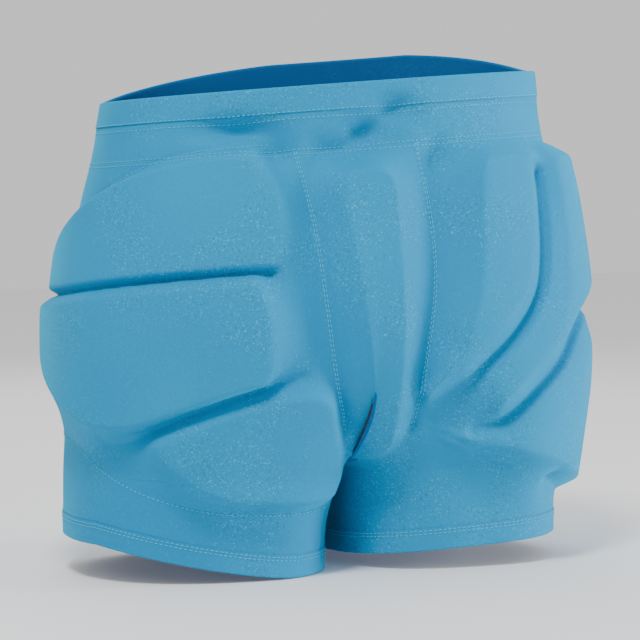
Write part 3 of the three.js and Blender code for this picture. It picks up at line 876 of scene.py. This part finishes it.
# ---------------------------------------------------------------- outer panels
# The outer cloth: two hip panels, two seat panels and a centre front, each stretched over its pads,
# with a band of the same knit, the yoke, from them to the waistband.
skin_in = {side: outer_face[side] - outer_normal[side] * cloth for side in (right, left)}
both_knits = [knit_outside, knit_inside]
names = {right: "right", left: "left"}
tuck = 2                        # rows of a panel that run in under a band
skins = {}
for side in (right, left):
    rows = (gusset_row, yoke_row)
    hip_blocks = [block(side, rows, (column_marks[1], column_marks[2])),
                  block(side, (cuff_row, gusset_row), (column_marks[1], column_marks[2]))]
    skins[f"{names[side]}_hip_skin"] = cloth_sheet(f"{names[side]}_hip_skin", hip_blocks, outer_face,
                                                   skin_in, both_knits)
    seat_blocks = [block(side, rows, (column_marks[2], last_column)),
                   block(side, (cuff_row, gusset_row), (column_marks[2], column_marks[3]))]
    skins[f"{names[side]}_seat_skin"] = cloth_sheet(f"{names[side]}_seat_skin", seat_blocks, outer_face,
                                                    skin_in, both_knits)
    # the cuff runs up the inside of the leg to the crotch
    cuff_blocks = [block(side, (hem_top_row - tuck, cuff_row), (0, last_column)),
                   block(side, (cuff_row, crotch_row), (0, column_marks[1])),
                   block(side, (cuff_row, crotch_row), (column_marks[3], last_column))]
    skins[f"{names[side]}_cuff"] = cloth_sheet(f"{names[side]}_cuff", cuff_blocks, outer_face, skin_in,
                                               both_knits)
centre_blocks = [block(side, (gusset_row, yoke_row), (0, column_marks[1])) for side in (right, left)]
skins["centre_front_skin"] = cloth_sheet("centre_front_skin", centre_blocks, outer_face, skin_in,
                                         both_knits)
gusset_blocks = [block(side, (crotch_row, gusset_row), columns) for side in (right, left)
                 for columns in ((0, column_marks[1]), (column_marks[3], last_column))]
skins["gusset"] = cloth_sheet("gusset", gusset_blocks, outer_face, skin_in, both_knits)
# the yoke's front and back meet at the sides
half_column = int(np.argmin(np.abs(base[right][yoke_row, :, 1])))
yoke_columns = {"front_yoke_skin": (0, half_column), "back_yoke_skin": (half_column, last_column)}
for name, columns in yoke_columns.items():
    yoke_blocks = [block(side, (yoke_row, casing_row + tuck), columns) for side in (right, left)]
    skins[name] = cloth_sheet(name, yoke_blocks, outer_face, skin_in, both_knits)

# ---------------------------------------------------------------- lining
# A second layer of the same knit lies against the wearer, and the foam is held between it and the skin.
lining_out = {side: 1.0 - hollow[side] * 1.05 for side in (right, left)}
lining_face = raised_by(lining_out)
lining_in = raised_by({side: lining_out[side] - 0.9 for side in (right, left)})
linings = {}


def lining(name, blocks):
    linings[name] = cloth_sheet(name, blocks, lining_face, lining_in, [knit_inside])


for side in (right, left):
    rows = (gusset_row, yoke_row)
    lining(f"{names[side]}_hip_lining", [block(side, rows, (column_marks[1], column_marks[2]), 3),
           block(side, (cuff_row, gusset_row), (column_marks[1], column_marks[2]), 3)])
    lining(f"{names[side]}_seat_lining", [block(side, rows, (column_marks[2], last_column), 3),
           block(side, (cuff_row, gusset_row), (column_marks[2], column_marks[3]), 3)])
lining("front_lining", [block(side, (gusset_row, yoke_row), (0, column_marks[1]), 3)
                        for side in (right, left)])

# ---------------------------------------------------------------- waistband and hems
# The waistband is a casing of the knit folded over a woven elastic and stitched down through it. Each
# leg ends in a hem, the knit folded up inside itself.


def ring_of(sides):
    """The grid's columns in order around the waist, or around one leg, as (side, column) pairs."""
    if len(sides) == 1:
        return [(sides[0], c) for c in range(last_column)]
    first = [(right, c) for c in range(last_column)]
    return first + [(left, c) for c in range(last_column, 0, -1)]


def ring_sheet(name, loops, uv, materials, slots):
    """Closes a ring of section loops into a mesh: loops has one loop of points for each column."""
    rings, around = loops.shape[:2]
    ids = np.arange(rings * around).reshape(rings, around)
    ahead, beside = np.roll(ids, -1, 0), np.roll(ids, -1, 1)
    faces = np.stack([ids, ahead, np.roll(ahead, -1, 1), beside], -1).reshape(-1, 4)
    a, b, c = (loops.reshape(-1, 3)[faces[:, k]] for k in range(3))
    middle = loops.mean((0, 1))
    volume = np.einsum("ij,ij->i", a - middle, np.cross(b - middle, c - middle))
    if volume.sum() < 0:
        faces = faces[:, ::-1]
    mesh = bpy.data.meshes.new(name)
    mesh.from_pydata(((loops.reshape(-1, 3) + origin) * MM).tolist(), [], faces.tolist())
    corners = uv.reshape(-1, 2)[faces].reshape(-1).astype(np.float32)
    mesh.uv_layers.new(name="cloth").data.foreach_set("uv", corners)
    for material in materials:
        mesh.materials.append(material)
    mesh.polygons.foreach_set("material_index", np.tile(slots, rings).astype(np.int32))
    mesh.shade_smooth()
    mesh.set_sharp_from_angle(angle=math.radians(60))
    piece = bpy.data.objects.new(name, mesh)
    scene.collection.objects.link(piece)
    return piece


def folded_band(name, sides, open_row, fold_row, middle, half, thick):
    """A band of knit folded at fold_row, with its two layers half a band's thickness off its middle."""
    step = 1 if fold_row > open_row else -1
    ring = ring_of(sides)
    rows = np.arange(open_row, fold_row + step, step)
    level = raised_by({s: middle - hollow[s] for s in (right, left)})
    place = np.array([level[s][rows, c] for s, c in ring])
    normal = np.array([out_of[s][rows, c] for s, c in ring])
    to_fold = np.linalg.norm(place - place[:, -1:], axis=-1).mean(0)
    straight = to_fold > half
    up = place[:, -1] - place[:, np.flatnonzero(straight)[-1]]
    up = (up / np.linalg.norm(up, axis=-1, keepdims=True))[:, None]
    centre = place[:, -1:] - up * half
    n = normal[:, -1:]

    def hook(radius):
        turn = np.linspace(0, math.pi, 9)[None, :, None]
        bend = centre + radius * (np.cos(turn) * n + np.sin(turn) * up)
        outside = place[:, straight] + radius * normal[:, straight]
        inside = (place[:, straight] - radius * normal[:, straight])[:, ::-1]
        return np.concatenate([outside, bend, inside], 1)

    outer, inner = hook(half), hook(half - thick)
    loops = np.concatenate([outer, inner[:, ::-1]], 1)
    run = np.cumsum(np.linalg.norm(np.roll(place[:, 0], -1, 0) - place[:, 0], axis=-1))
    across = np.concatenate([[0], np.cumsum(np.linalg.norm(np.diff(loops, axis=1), axis=-1).mean(0))])
    uv = np.stack(np.broadcast_arrays(run[:, None], across[None, :]), -1) * MM
    half_way = straight.sum() + 5
    slots = (np.arange(loops.shape[1]) >= half_way).astype(int)
    return ring_sheet(name, loops, uv, both_knits, slots)


casing = folded_band("waistband", (right, left), casing_row, rim_row, 1.7, 1.8, 0.9)
hems = {side: folded_band(f"{names[side]}_hem", (side,), hem_top_row, hem_row, 1.7, 1.1, 0.9)
        for side in (right, left)}


def woven_elastic():
    """Woven elastic: rubber cores under polyester, with ribs along it."""
    material = bpy.data.materials.new("woven_elastic")
    material.use_nodes = True
    tree = material.node_tree
    shader = tree.nodes["Principled BSDF"]
    uv = wire(tree, "ShaderNodeUVMap", {"uv_map": "cloth"}, {})
    ribs = wire(tree, "ShaderNodeTexWave", {"bands_direction": "Y"}, {"Vector": uv, "Scale": 220.0,
                "Distortion": 0.6}, 0)
    grain = wire(tree, "ShaderNodeTexNoise", {}, {"Vector": uv, "Scale": 900.0}, 0)
    colour = mix_colour(tree, ribs * 0.6 + grain * 0.3, (0.55, 0.55, 0.53), (0.80, 0.80, 0.78))
    tree.links.new(colour.socket, shader.inputs["Base Color"])
    rough = 0.6 + 0.2 * grain
    tree.links.new(rough.socket, shader.inputs["Roughness"])
    bump = wire(tree, "ShaderNodeBump", {}, {"Strength": 0.5, "Distance": 0.0005, "Height": ribs})
    tree.links.new(bump.socket, shader.inputs["Normal"])
    return material


def elastic_ring():
    ring = ring_of((right, left))[::2]
    rows = np.arange(casing_row + 2, rim_row - 4)
    level = raised_by({s: 1.7 - hollow[s] for s in (right, left)})
    place = np.array([level[s][rows, c] for s, c in ring])
    normal = np.array([out_of[s][rows, c] for s, c in ring])
    loops = np.concatenate([place + 0.55 * normal, (place - 0.55 * normal)[:, ::-1]], 1)
    run = np.cumsum(np.linalg.norm(np.roll(place[:, 0], -1, 0) - place[:, 0], axis=-1))
    across = np.arange(loops.shape[1]) * 1.2
    uv = np.stack(np.broadcast_arrays(run[:, None], across[None, :]), -1) * MM
    return ring_sheet("waist_elastic_band", loops, uv, [woven_elastic()], np.zeros(loops.shape[1], int))


elastic = elastic_ring()


# ---------------------------------------------------------------- the foam pads, as solids
# Closed-cell foam, cut with bevelled edges, between the skin and the lining. Each block keeps clear of
# the inside of the skin and dips with it where the cloth falls in.
def closed_cell_foam():
    material = bpy.data.materials.new("closed_cell_foam")
    material.use_nodes = True
    tree = material.node_tree
    shader = tree.nodes["Principled BSDF"]
    place = wire(tree, "ShaderNodeTexCoord", {}, {}, 3)
    cells = wire(tree, "ShaderNodeTexVoronoi", {}, {"Vector": place, "Scale": 900.0}, 0)
    cloud = wire(tree, "ShaderNodeTexNoise", {}, {"Vector": place, "Scale": 60.0}, 0)
    colour = mix_colour(tree, cells * 0.5 + cloud * 0.4, (0.030, 0.031, 0.034), (0.085, 0.087, 0.092))
    tree.links.new(colour.socket, shader.inputs["Base Color"])
    rough = 0.75 + 0.2 * cloud
    tree.links.new(rough.socket, shader.inputs["Roughness"])
    bump = wire(tree, "ShaderNodeBump", {}, {"Strength": 0.5, "Distance": 0.0004, "Height": cells})
    tree.links.new(bump.socket, shader.inputs["Normal"])
    return material


foam_material = closed_cell_foam()
foam_under = 1.15
near_skin = {side: kdtree.KDTree(base[side].shape[0] * base[side].shape[1]) for side in (right, left)}
for side in (right, left):
    for i, p in enumerate(base[side].reshape(-1, 3).tolist()):
        near_skin[side].insert(p, i)
    near_skin[side].balance()


def room_under_skin(place, side):
    """How high foam can stand at each place and still clear the inside of the outer cloth."""
    room = (lift[side] + skin_clearance - foam_under - 0.5).reshape(-1)
    nearby = 22                 # grid points within about 3 mm
    found = [min(room[i] for _, i, _ in near_skin[side].find_n(p, nearby))
             for p in place.reshape(-1, 3).tolist()]
    return np.array(found).reshape(place.shape[:-1])


def slab(name, under, over):
    """A solid between two grids of points, closed along their edges."""
    rows, columns = under.shape[:2]
    ids = np.arange(rows * columns).reshape(rows, columns)
    face = np.stack([ids[:-1, :-1], ids[:-1, 1:], ids[1:, 1:], ids[1:, :-1]], -1).reshape(-1, 4)
    rim = np.concatenate([ids[0, :-1], ids[:-1, -1], ids[-1, :0:-1], ids[:0:-1, 0]])
    ahead = np.roll(rim, -1)
    count = rows * columns
    walls = np.stack([rim, ahead, ahead + count, rim + count], 1)
    faces = np.concatenate([face + count, face[:, ::-1], walls])
    points = np.concatenate([under.reshape(-1, 3), over.reshape(-1, 3)])
    a, b, c = (over.reshape(-1, 3)[face[:, k]] for k in range(3))
    outward = (np.cross(b - a, c - a) * (over - under).reshape(-1, 3)[face[:, 0]]).sum()
    if outward < 0:
        faces = faces[:, ::-1]
    mesh = bpy.data.meshes.new(name)
    mesh.from_pydata(((points + origin) * MM).tolist(), [], faces.tolist())
    mesh.materials.append(foam_material)
    mesh.shade_smooth()
    mesh.set_sharp_from_angle(angle=math.radians(45))
    piece = bpy.data.objects.new(name, mesh)
    scene.collection.objects.link(piece)
    return piece


def surface_normal(place, side):
    du, dv = np.gradient(place, axis=1), np.gradient(place, axis=0)
    normal = np.cross(du, dv) * side
    return normal / np.maximum(np.linalg.norm(normal, axis=-1, keepdims=True), 1e-9)


def hip_foam(name, pad):
    side = pad["side"]
    first, last = pad["span"]
    turn = np.linspace(first, last, max(24, int((last - first) * 0.9)))[None, :]
    low, high = pad["low"](turn), np.maximum(pad["high"](turn), pad["low"](turn) + 1)
    share = np.linspace(0, 1, 34)[:, None]
    z = low + (high - low) * share
    turn = np.broadcast_to(turn, z.shape)
    place = on_body(side, turn, z)
    inner = hip_pad_height(pad, np.clip(turn, first + 0.01, last - 0.01),
                           np.clip(z, low + 0.01, high - 0.01), place)
    inner = np.minimum(inner, room_under_skin(place, side))
    normal = surface_normal(place, side)
    under = place + normal * (foam_under - hollow_at(place))[..., None]
    return slab(name, under, under + normal * np.maximum(inner, 0.8)[..., None])


def upright_foam(name, pad):
    (top_x, top_z), (bottom_x, bottom_z) = pad["top"], pad["bottom"]
    top_radius, bottom_radius = pad["radii"]
    angle = np.linspace(0, 2 * math.pi, 65)[None, :-1]
    share = np.linspace(0.02, 1, 14)[:, None] ** 0.7
    reach = (np.abs(np.cos(angle)) ** 2.6 + np.abs(np.sin(angle)) ** 2.6) ** (-1 / 2.6)
    up = np.sin(angle) >= 0
    radius = np.where(up, top_radius, bottom_radius) * reach * share * 0.985
    middle_x, middle_z = (top_x + bottom_x) / 2 * (1 - share), (top_z + bottom_z) / 2 * (1 - share)
    x = np.where(up, top_x, bottom_x) * share + middle_x + radius * np.cos(angle)
    z = np.where(up, top_z, bottom_z) * share + middle_z + radius * np.sin(angle)
    fine_turn = np.linspace(-60, 240, 1201)
    place = []
    for px, pz in zip(x.ravel(), z.ravel()):
        side = right if px < lean(pz) else left
        curve = on_body(side, fine_turn, pz)
        facing = curve[:, 1] * pad["face"] > 0
        k = np.argmin(np.where(facing, np.abs(curve[:, 0] - px), 1e9))
        place.append((px, curve[k, 1], pz))
    place = np.array(place).reshape(*x.shape, 3)
    height = upright_pad_height(pad, place[..., 0], place[..., 1], place[..., 2])
    on_right = place[..., 0] < lean(place[..., 2])
    room = np.where(on_right, room_under_skin(place, right), room_under_skin(place, left))
    height = np.maximum(np.minimum(height, room), 0.8)
    # around the outline the grid closes on itself, so the slab is a stack of rings
    count = place.shape[1]
    on_cloth, outward = np.zeros_like(place), np.zeros_like(place)
    for side, here in ((right, on_right), (left, ~on_right)):
        nearest = [near_skin[side].find(p)[1] for p in place[here].tolist()]
        on_cloth[here] = base[side].reshape(-1, 3)[nearest]
        outward[here] = out_of[side].reshape(-1, 3)[nearest]
    # the cloth spans from thigh to thigh in front, so the foam takes its depth from the cloth
    place[..., 1] = on_cloth[..., 1]
    under = place + outward * (foam_under - hollow_at(place))[..., None]
    over = under + outward * height[..., None]
    ids = np.arange(place.shape[0] * count).reshape(-1, count)
    face = np.stack([ids[:-1], np.roll(ids[:-1], -1, 1), np.roll(ids[1:], -1, 1), ids[1:]], -1)
    face = face.reshape(-1, 4)
    total = ids.size
    walls = np.stack([ids[-1], np.roll(ids[-1], -1), np.roll(ids[-1], -1) + total, ids[-1] + total], -1)
    faces = [tuple(f) for f in np.concatenate([face + total, face[:, ::-1], walls[:, ::-1]]).tolist()]
    faces += [tuple((ids[0] + total).tolist()), tuple(ids[0][::-1].tolist())]
    mesh = bpy.data.meshes.new(name)
    points = np.concatenate([under.reshape(-1, 3), over.reshape(-1, 3)])
    mesh.from_pydata(((points + origin) * MM).tolist(), [], faces)
    mesh.materials.append(foam_material)
    tidy = bmesh.new()
    tidy.from_mesh(mesh)
    bmesh.ops.recalc_face_normals(tidy, faces=tidy.faces)
    tidy.to_mesh(mesh)
    tidy.free()
    mesh.shade_smooth()
    mesh.set_sharp_from_angle(angle=math.radians(45))
    piece = bpy.data.objects.new(name, mesh)
    scene.collection.objects.link(piece)
    return piece


foams = {name: hip_foam(name + "_block", pad) for name, pad in hip_pads.items()}
foams.update({name: upright_foam(name + "_block", pad) for name, pad in upright_pads.items()})

# ---------------------------------------------------------------- stitching
# Seams and hems are sewn with thread: flatlock rows at the waistband, yoke and front seams, single
# topstitching around the right hip pads and behind. Each stitch is a short raised capsule of thread.
def thread_material():
    material = bpy.data.materials.new("thread")
    material.use_nodes = True
    tree = material.node_tree
    shader = tree.nodes["Principled BSDF"]
    place = wire(tree, "ShaderNodeTexCoord", {}, {}, 3)
    strand = wire(tree, "ShaderNodeTexNoise", {}, {"Vector": place, "Scale": 1800.0}, 0)
    along = wire(tree, "ShaderNodeTexNoise", {}, {"Vector": place, "Scale": 140.0}, 0)
    colour = mix_colour(tree, strand * 0.6 + along * 0.4, (0.0, 0.30, 0.50), (0.08, 0.62, 0.84))
    tree.links.new(colour.socket, shader.inputs["Base Color"])
    rough = 0.4 + 0.25 * strand
    tree.links.new(rough.socket, shader.inputs["Roughness"])
    bump = wire(tree, "ShaderNodeBump", {}, {"Strength": 0.6, "Distance": 0.0002, "Height": strand})
    tree.links.new(bump.socket, shader.inputs["Normal"])
    return material


thread = thread_material()
thread_size = 0.6
stitch_pitch = 3.4
stitch_length = 2.3


def one_stitch():
    """A capsule of thread lying along its own Z axis."""
    shape = bmesh.new()
    radius, half = thread_size / 2 * MM, stitch_length / 2 * MM
    bmesh.ops.create_cone(shape, segments=6, radius1=radius, radius2=radius, depth=2 * (half - radius),
                          cap_ends=True)
    tips = [f for f in shape.faces if abs(f.normal.z) > 0.9]
    for tip in tips:
        way = 1 if tip.normal.z > 0 else -1
        made = bmesh.ops.poke(shape, faces=[tip])
        made["verts"][0].co.z += way * radius
    mesh = bpy.data.meshes.new("one_stitch")
    shape.to_mesh(mesh)
    shape.free()
    mesh.shade_smooth()
    stitch = bpy.data.objects.new("one_stitch", mesh)
    scene.collection.objects.link(stitch)
    return stitch


def stitch_tree():
    """Lays a stitch at every pitch along a set of curves."""
    tree = bpy.data.node_groups.new("stitches", "GeometryNodeTree")
    face = tree.interface
    face.new_socket("Curves", in_out="INPUT", socket_type="NodeSocketGeometry")
    pitch = face.new_socket("Pitch", in_out="INPUT", socket_type="NodeSocketFloat")
    shape = face.new_socket("Stitch", in_out="INPUT", socket_type="NodeSocketObject")
    look = face.new_socket("Thread", in_out="INPUT", socket_type="NodeSocketMaterial")
    face.new_socket("Stitches", in_out="OUTPUT", socket_type="NodeSocketGeometry")
    start, end = tree.nodes.new("NodeGroupInput"), tree.nodes.new("NodeGroupOutput")
    spaced = tree.nodes.new("GeometryNodeResampleCurve")
    spaced.mode = "LENGTH"
    tangent = tree.nodes.new("GeometryNodeInputTangent")
    turned = tree.nodes.new("FunctionNodeAlignEulerToVector")
    turned.axis = "Z"
    info = tree.nodes.new("GeometryNodeObjectInfo")
    spread = tree.nodes.new("GeometryNodeInstanceOnPoints")
    real = tree.nodes.new("GeometryNodeRealizeInstances")
    coat = tree.nodes.new("GeometryNodeSetMaterial")
    tree.links.new(start.outputs[0], spaced.inputs["Curve"])
    tree.links.new(start.outputs[1], spaced.inputs["Length"])
    tree.links.new(tangent.outputs[0], turned.inputs["Vector"])
    tree.links.new(start.outputs[2], info.inputs["Object"])
    tree.links.new(spaced.outputs[0], spread.inputs["Points"])
    tree.links.new(info.outputs["Geometry"], spread.inputs["Instance"])
    tree.links.new(turned.outputs[0], spread.inputs["Rotation"])
    tree.links.new(spread.outputs[0], real.inputs[0])
    tree.links.new(real.outputs[0], coat.inputs["Geometry"])
    tree.links.new(start.outputs[3], coat.inputs["Material"])
    tree.links.new(coat.outputs[0], end.inputs[0])
    return tree, pitch.identifier, shape.identifier, look.identifier


sewn = {"torso": [], right: [], left: []}


def grid_line(face, side, rows, columns, out):
    """Points just outside a face of the cloth, along rows and columns of the grid."""
    place, normal = face[side], outer_normal[side]
    return place[rows, columns] + normal[rows, columns] * out


def along_row(face, row, out, shift=0.0):
    """A line of points right around the waist on a row, shifted down by part of a row."""
    ring = ring_of((right, left))
    line = [face[s][row, c] * (1 - shift) + face[s][row - 1, c] * shift + outer_normal[s][row, c] * out
            for s, c in ring]
    return np.array(line + line[:1])


def on_skin(side, turn, z, out):
    """Points on the outer cloth over a line on the body, each from the nearest points of the grid."""
    line = []
    for p in on_body(side, turn, z).tolist():
        near = near_skin[side].find_n(p, 6)
        share = np.array([1 / (d + 0.3) ** 3 for _, _, d in near])
        ids = [i for _, i, _ in near]
        flat = outer_face[side].reshape(-1, 3)[ids] - base[side].reshape(-1, 3)[ids]
        lift_here = (flat * share[:, None]).sum(0) / share.sum()
        normal = (outer_normal[side].reshape(-1, 3)[ids] * share[:, None]).sum(0)
        line.append(np.array(p) + lift_here + normal / np.linalg.norm(normal) * out)
    return np.array(line)


def beside(side, column, shift, rows):
    """A line of stitches up one seam, shifted sideways by part of a column."""
    step = 1 if shift > 0 else -1
    a = grid_line(outer_face, side, rows, column, 0.1)
    b = grid_line(outer_face, side, rows, column + step, 0.1)
    return a + (b - a) * abs(shift)


raised = 0.12
band_face = raised_by({s: 1.7 - hollow[s] + 1.8 for s in (right, left)})
sewn["torso"] += [along_row(band_face, casing_row + 1, raised, 0.4),
                  along_row(outer_face, casing_row - 3, raised, 0.2),
                  along_row(outer_face, yoke_row + 1, raised, 0.0),
                  along_row(outer_face, yoke_row - 1, raised, 0.6)]
up_rows = np.arange(gusset_row, yoke_row)
for side in (right, left):
    for shift in (-0.7, 0.7):
        sewn["torso"].append(beside(side, column_marks[1], shift, up_rows))
    sewn["torso"].append(beside(side, column_marks[2], 0.7, up_rows))
sewn["torso"].append(grid_line(outer_face, right, up_rows, last_column - 1, raised))
fine = np.linspace(0, 1, 500)
over_pad = 22 + (pad_back - 22) * fine
sewn["torso"].append(on_skin(right, over_pad, right_arc(over_pad), 0.15))
around_pad = -46 + (pad_back + 46) * fine
sewn[right].append(on_skin(right, around_pad, right_stitch(around_pad), 0.15))
hem_face = raised_by({s: 1.7 - hollow[s] + 1.1 for s in (right, left)})
for side in (right, left):
    ring = ring_of((side,))
    for row, shift in ((hem_top_row - 1, 0.5), (hem_top_row - 3, 0.3)):
        line = [hem_face[s][row, c] * (1 - shift) + hem_face[s][row - 1, c] * shift
                + outer_normal[s][row, c] * raised for s, c in ring]
        sewn[side].append(np.array(line + line[:1]))


def sew(name, lines, shape, tree, sockets):
    """One mesh of every stitch along some lines."""
    curve = bpy.data.curves.new(name, "CURVE")
    curve.dimensions = "3D"
    for line in lines:
        spline = curve.splines.new("POLY")
        spline.points.add(len(line) - 1)
        flat = np.concatenate([(line + origin) * MM, np.ones((len(line), 1))], 1)
        spline.points.foreach_set("co", flat.ravel().astype(np.float32))
    guide = bpy.data.objects.new(name + "_guide", curve)
    scene.collection.objects.link(guide)
    modifier = guide.modifiers.new("stitches", "NODES")
    modifier.node_group = tree
    pitch, stitch, look = sockets
    modifier[pitch] = stitch_pitch * MM
    modifier[stitch] = shape
    modifier[look] = thread
    bpy.context.view_layer.update()
    graph = bpy.context.evaluated_depsgraph_get()
    mesh = bpy.data.meshes.new_from_object(guide.evaluated_get(graph), depsgraph=graph)
    mesh.name = name
    bpy.data.objects.remove(guide)
    piece = bpy.data.objects.new(name, mesh)
    scene.collection.objects.link(piece)
    return piece


stitch_shape = one_stitch()
stitch_nodes, *stitch_sockets = stitch_tree()
stitches = {"torso": sew("torso_stitches", sewn["torso"], stitch_shape, stitch_nodes, stitch_sockets)}
for side in (right, left):
    stitches[side] = sew(f"{names[side]}_leg_stitches", sewn[side], stitch_shape, stitch_nodes,
                         stitch_sockets)
bpy.data.objects.remove(stitch_shape)


def hang(piece, side=None):
    if side is None:
        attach(piece, "root")
    else:
        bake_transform(piece)


for side in (right, left):
    word = names[side]
    for part in ("hip", "seat"):
        hang(skins[f"{word}_{part}_skin"], side)
        hang(linings[f"{word}_{part}_lining"], side)
    hang(skins[f"{word}_cuff"], side)
    hang(hems[side], side)
    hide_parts(f"{word}_leg_cuff")
    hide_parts(f"{word}_hem_band")
    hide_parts(f"{word}_side_panel")
    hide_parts(f"{word}_back_panel")
for name in ("centre_front_skin", "gusset", "front_yoke_skin", "back_yoke_skin"):
    hang(skins[name])
hang(linings["front_lining"])
hang(casing)
hang(elastic)
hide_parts("centre_front_panel")
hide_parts("crotch_gusset")
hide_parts("front_yoke")
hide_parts("back_yoke")
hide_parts("waistband_casing")
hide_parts("waist_elastic")
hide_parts("right_hip_pad_upper_cover", "right_hip_pad_middle_cover",
            "right_hip_pad_lower_cover")
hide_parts("left_hip_pad_front_cover", "left_hip_pad_side_cover",
            "left_hip_pad_lower_cover")
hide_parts("centre_front_pad_cover")
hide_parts("right_seat_pad_cover", "tailbone_pad_cover")
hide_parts("left_seat_pad_cover")
for name, piece in foams.items():
    if name == "right_hip_pad_lower":
        hang(piece, right)
    elif name == "left_hip_pad_lower":
        hang(piece, left)
    else:
        hang(piece)
    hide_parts(name + "_foam")


hang(stitches["torso"])
for side in (right, left):
    hang(stitches[side], side)
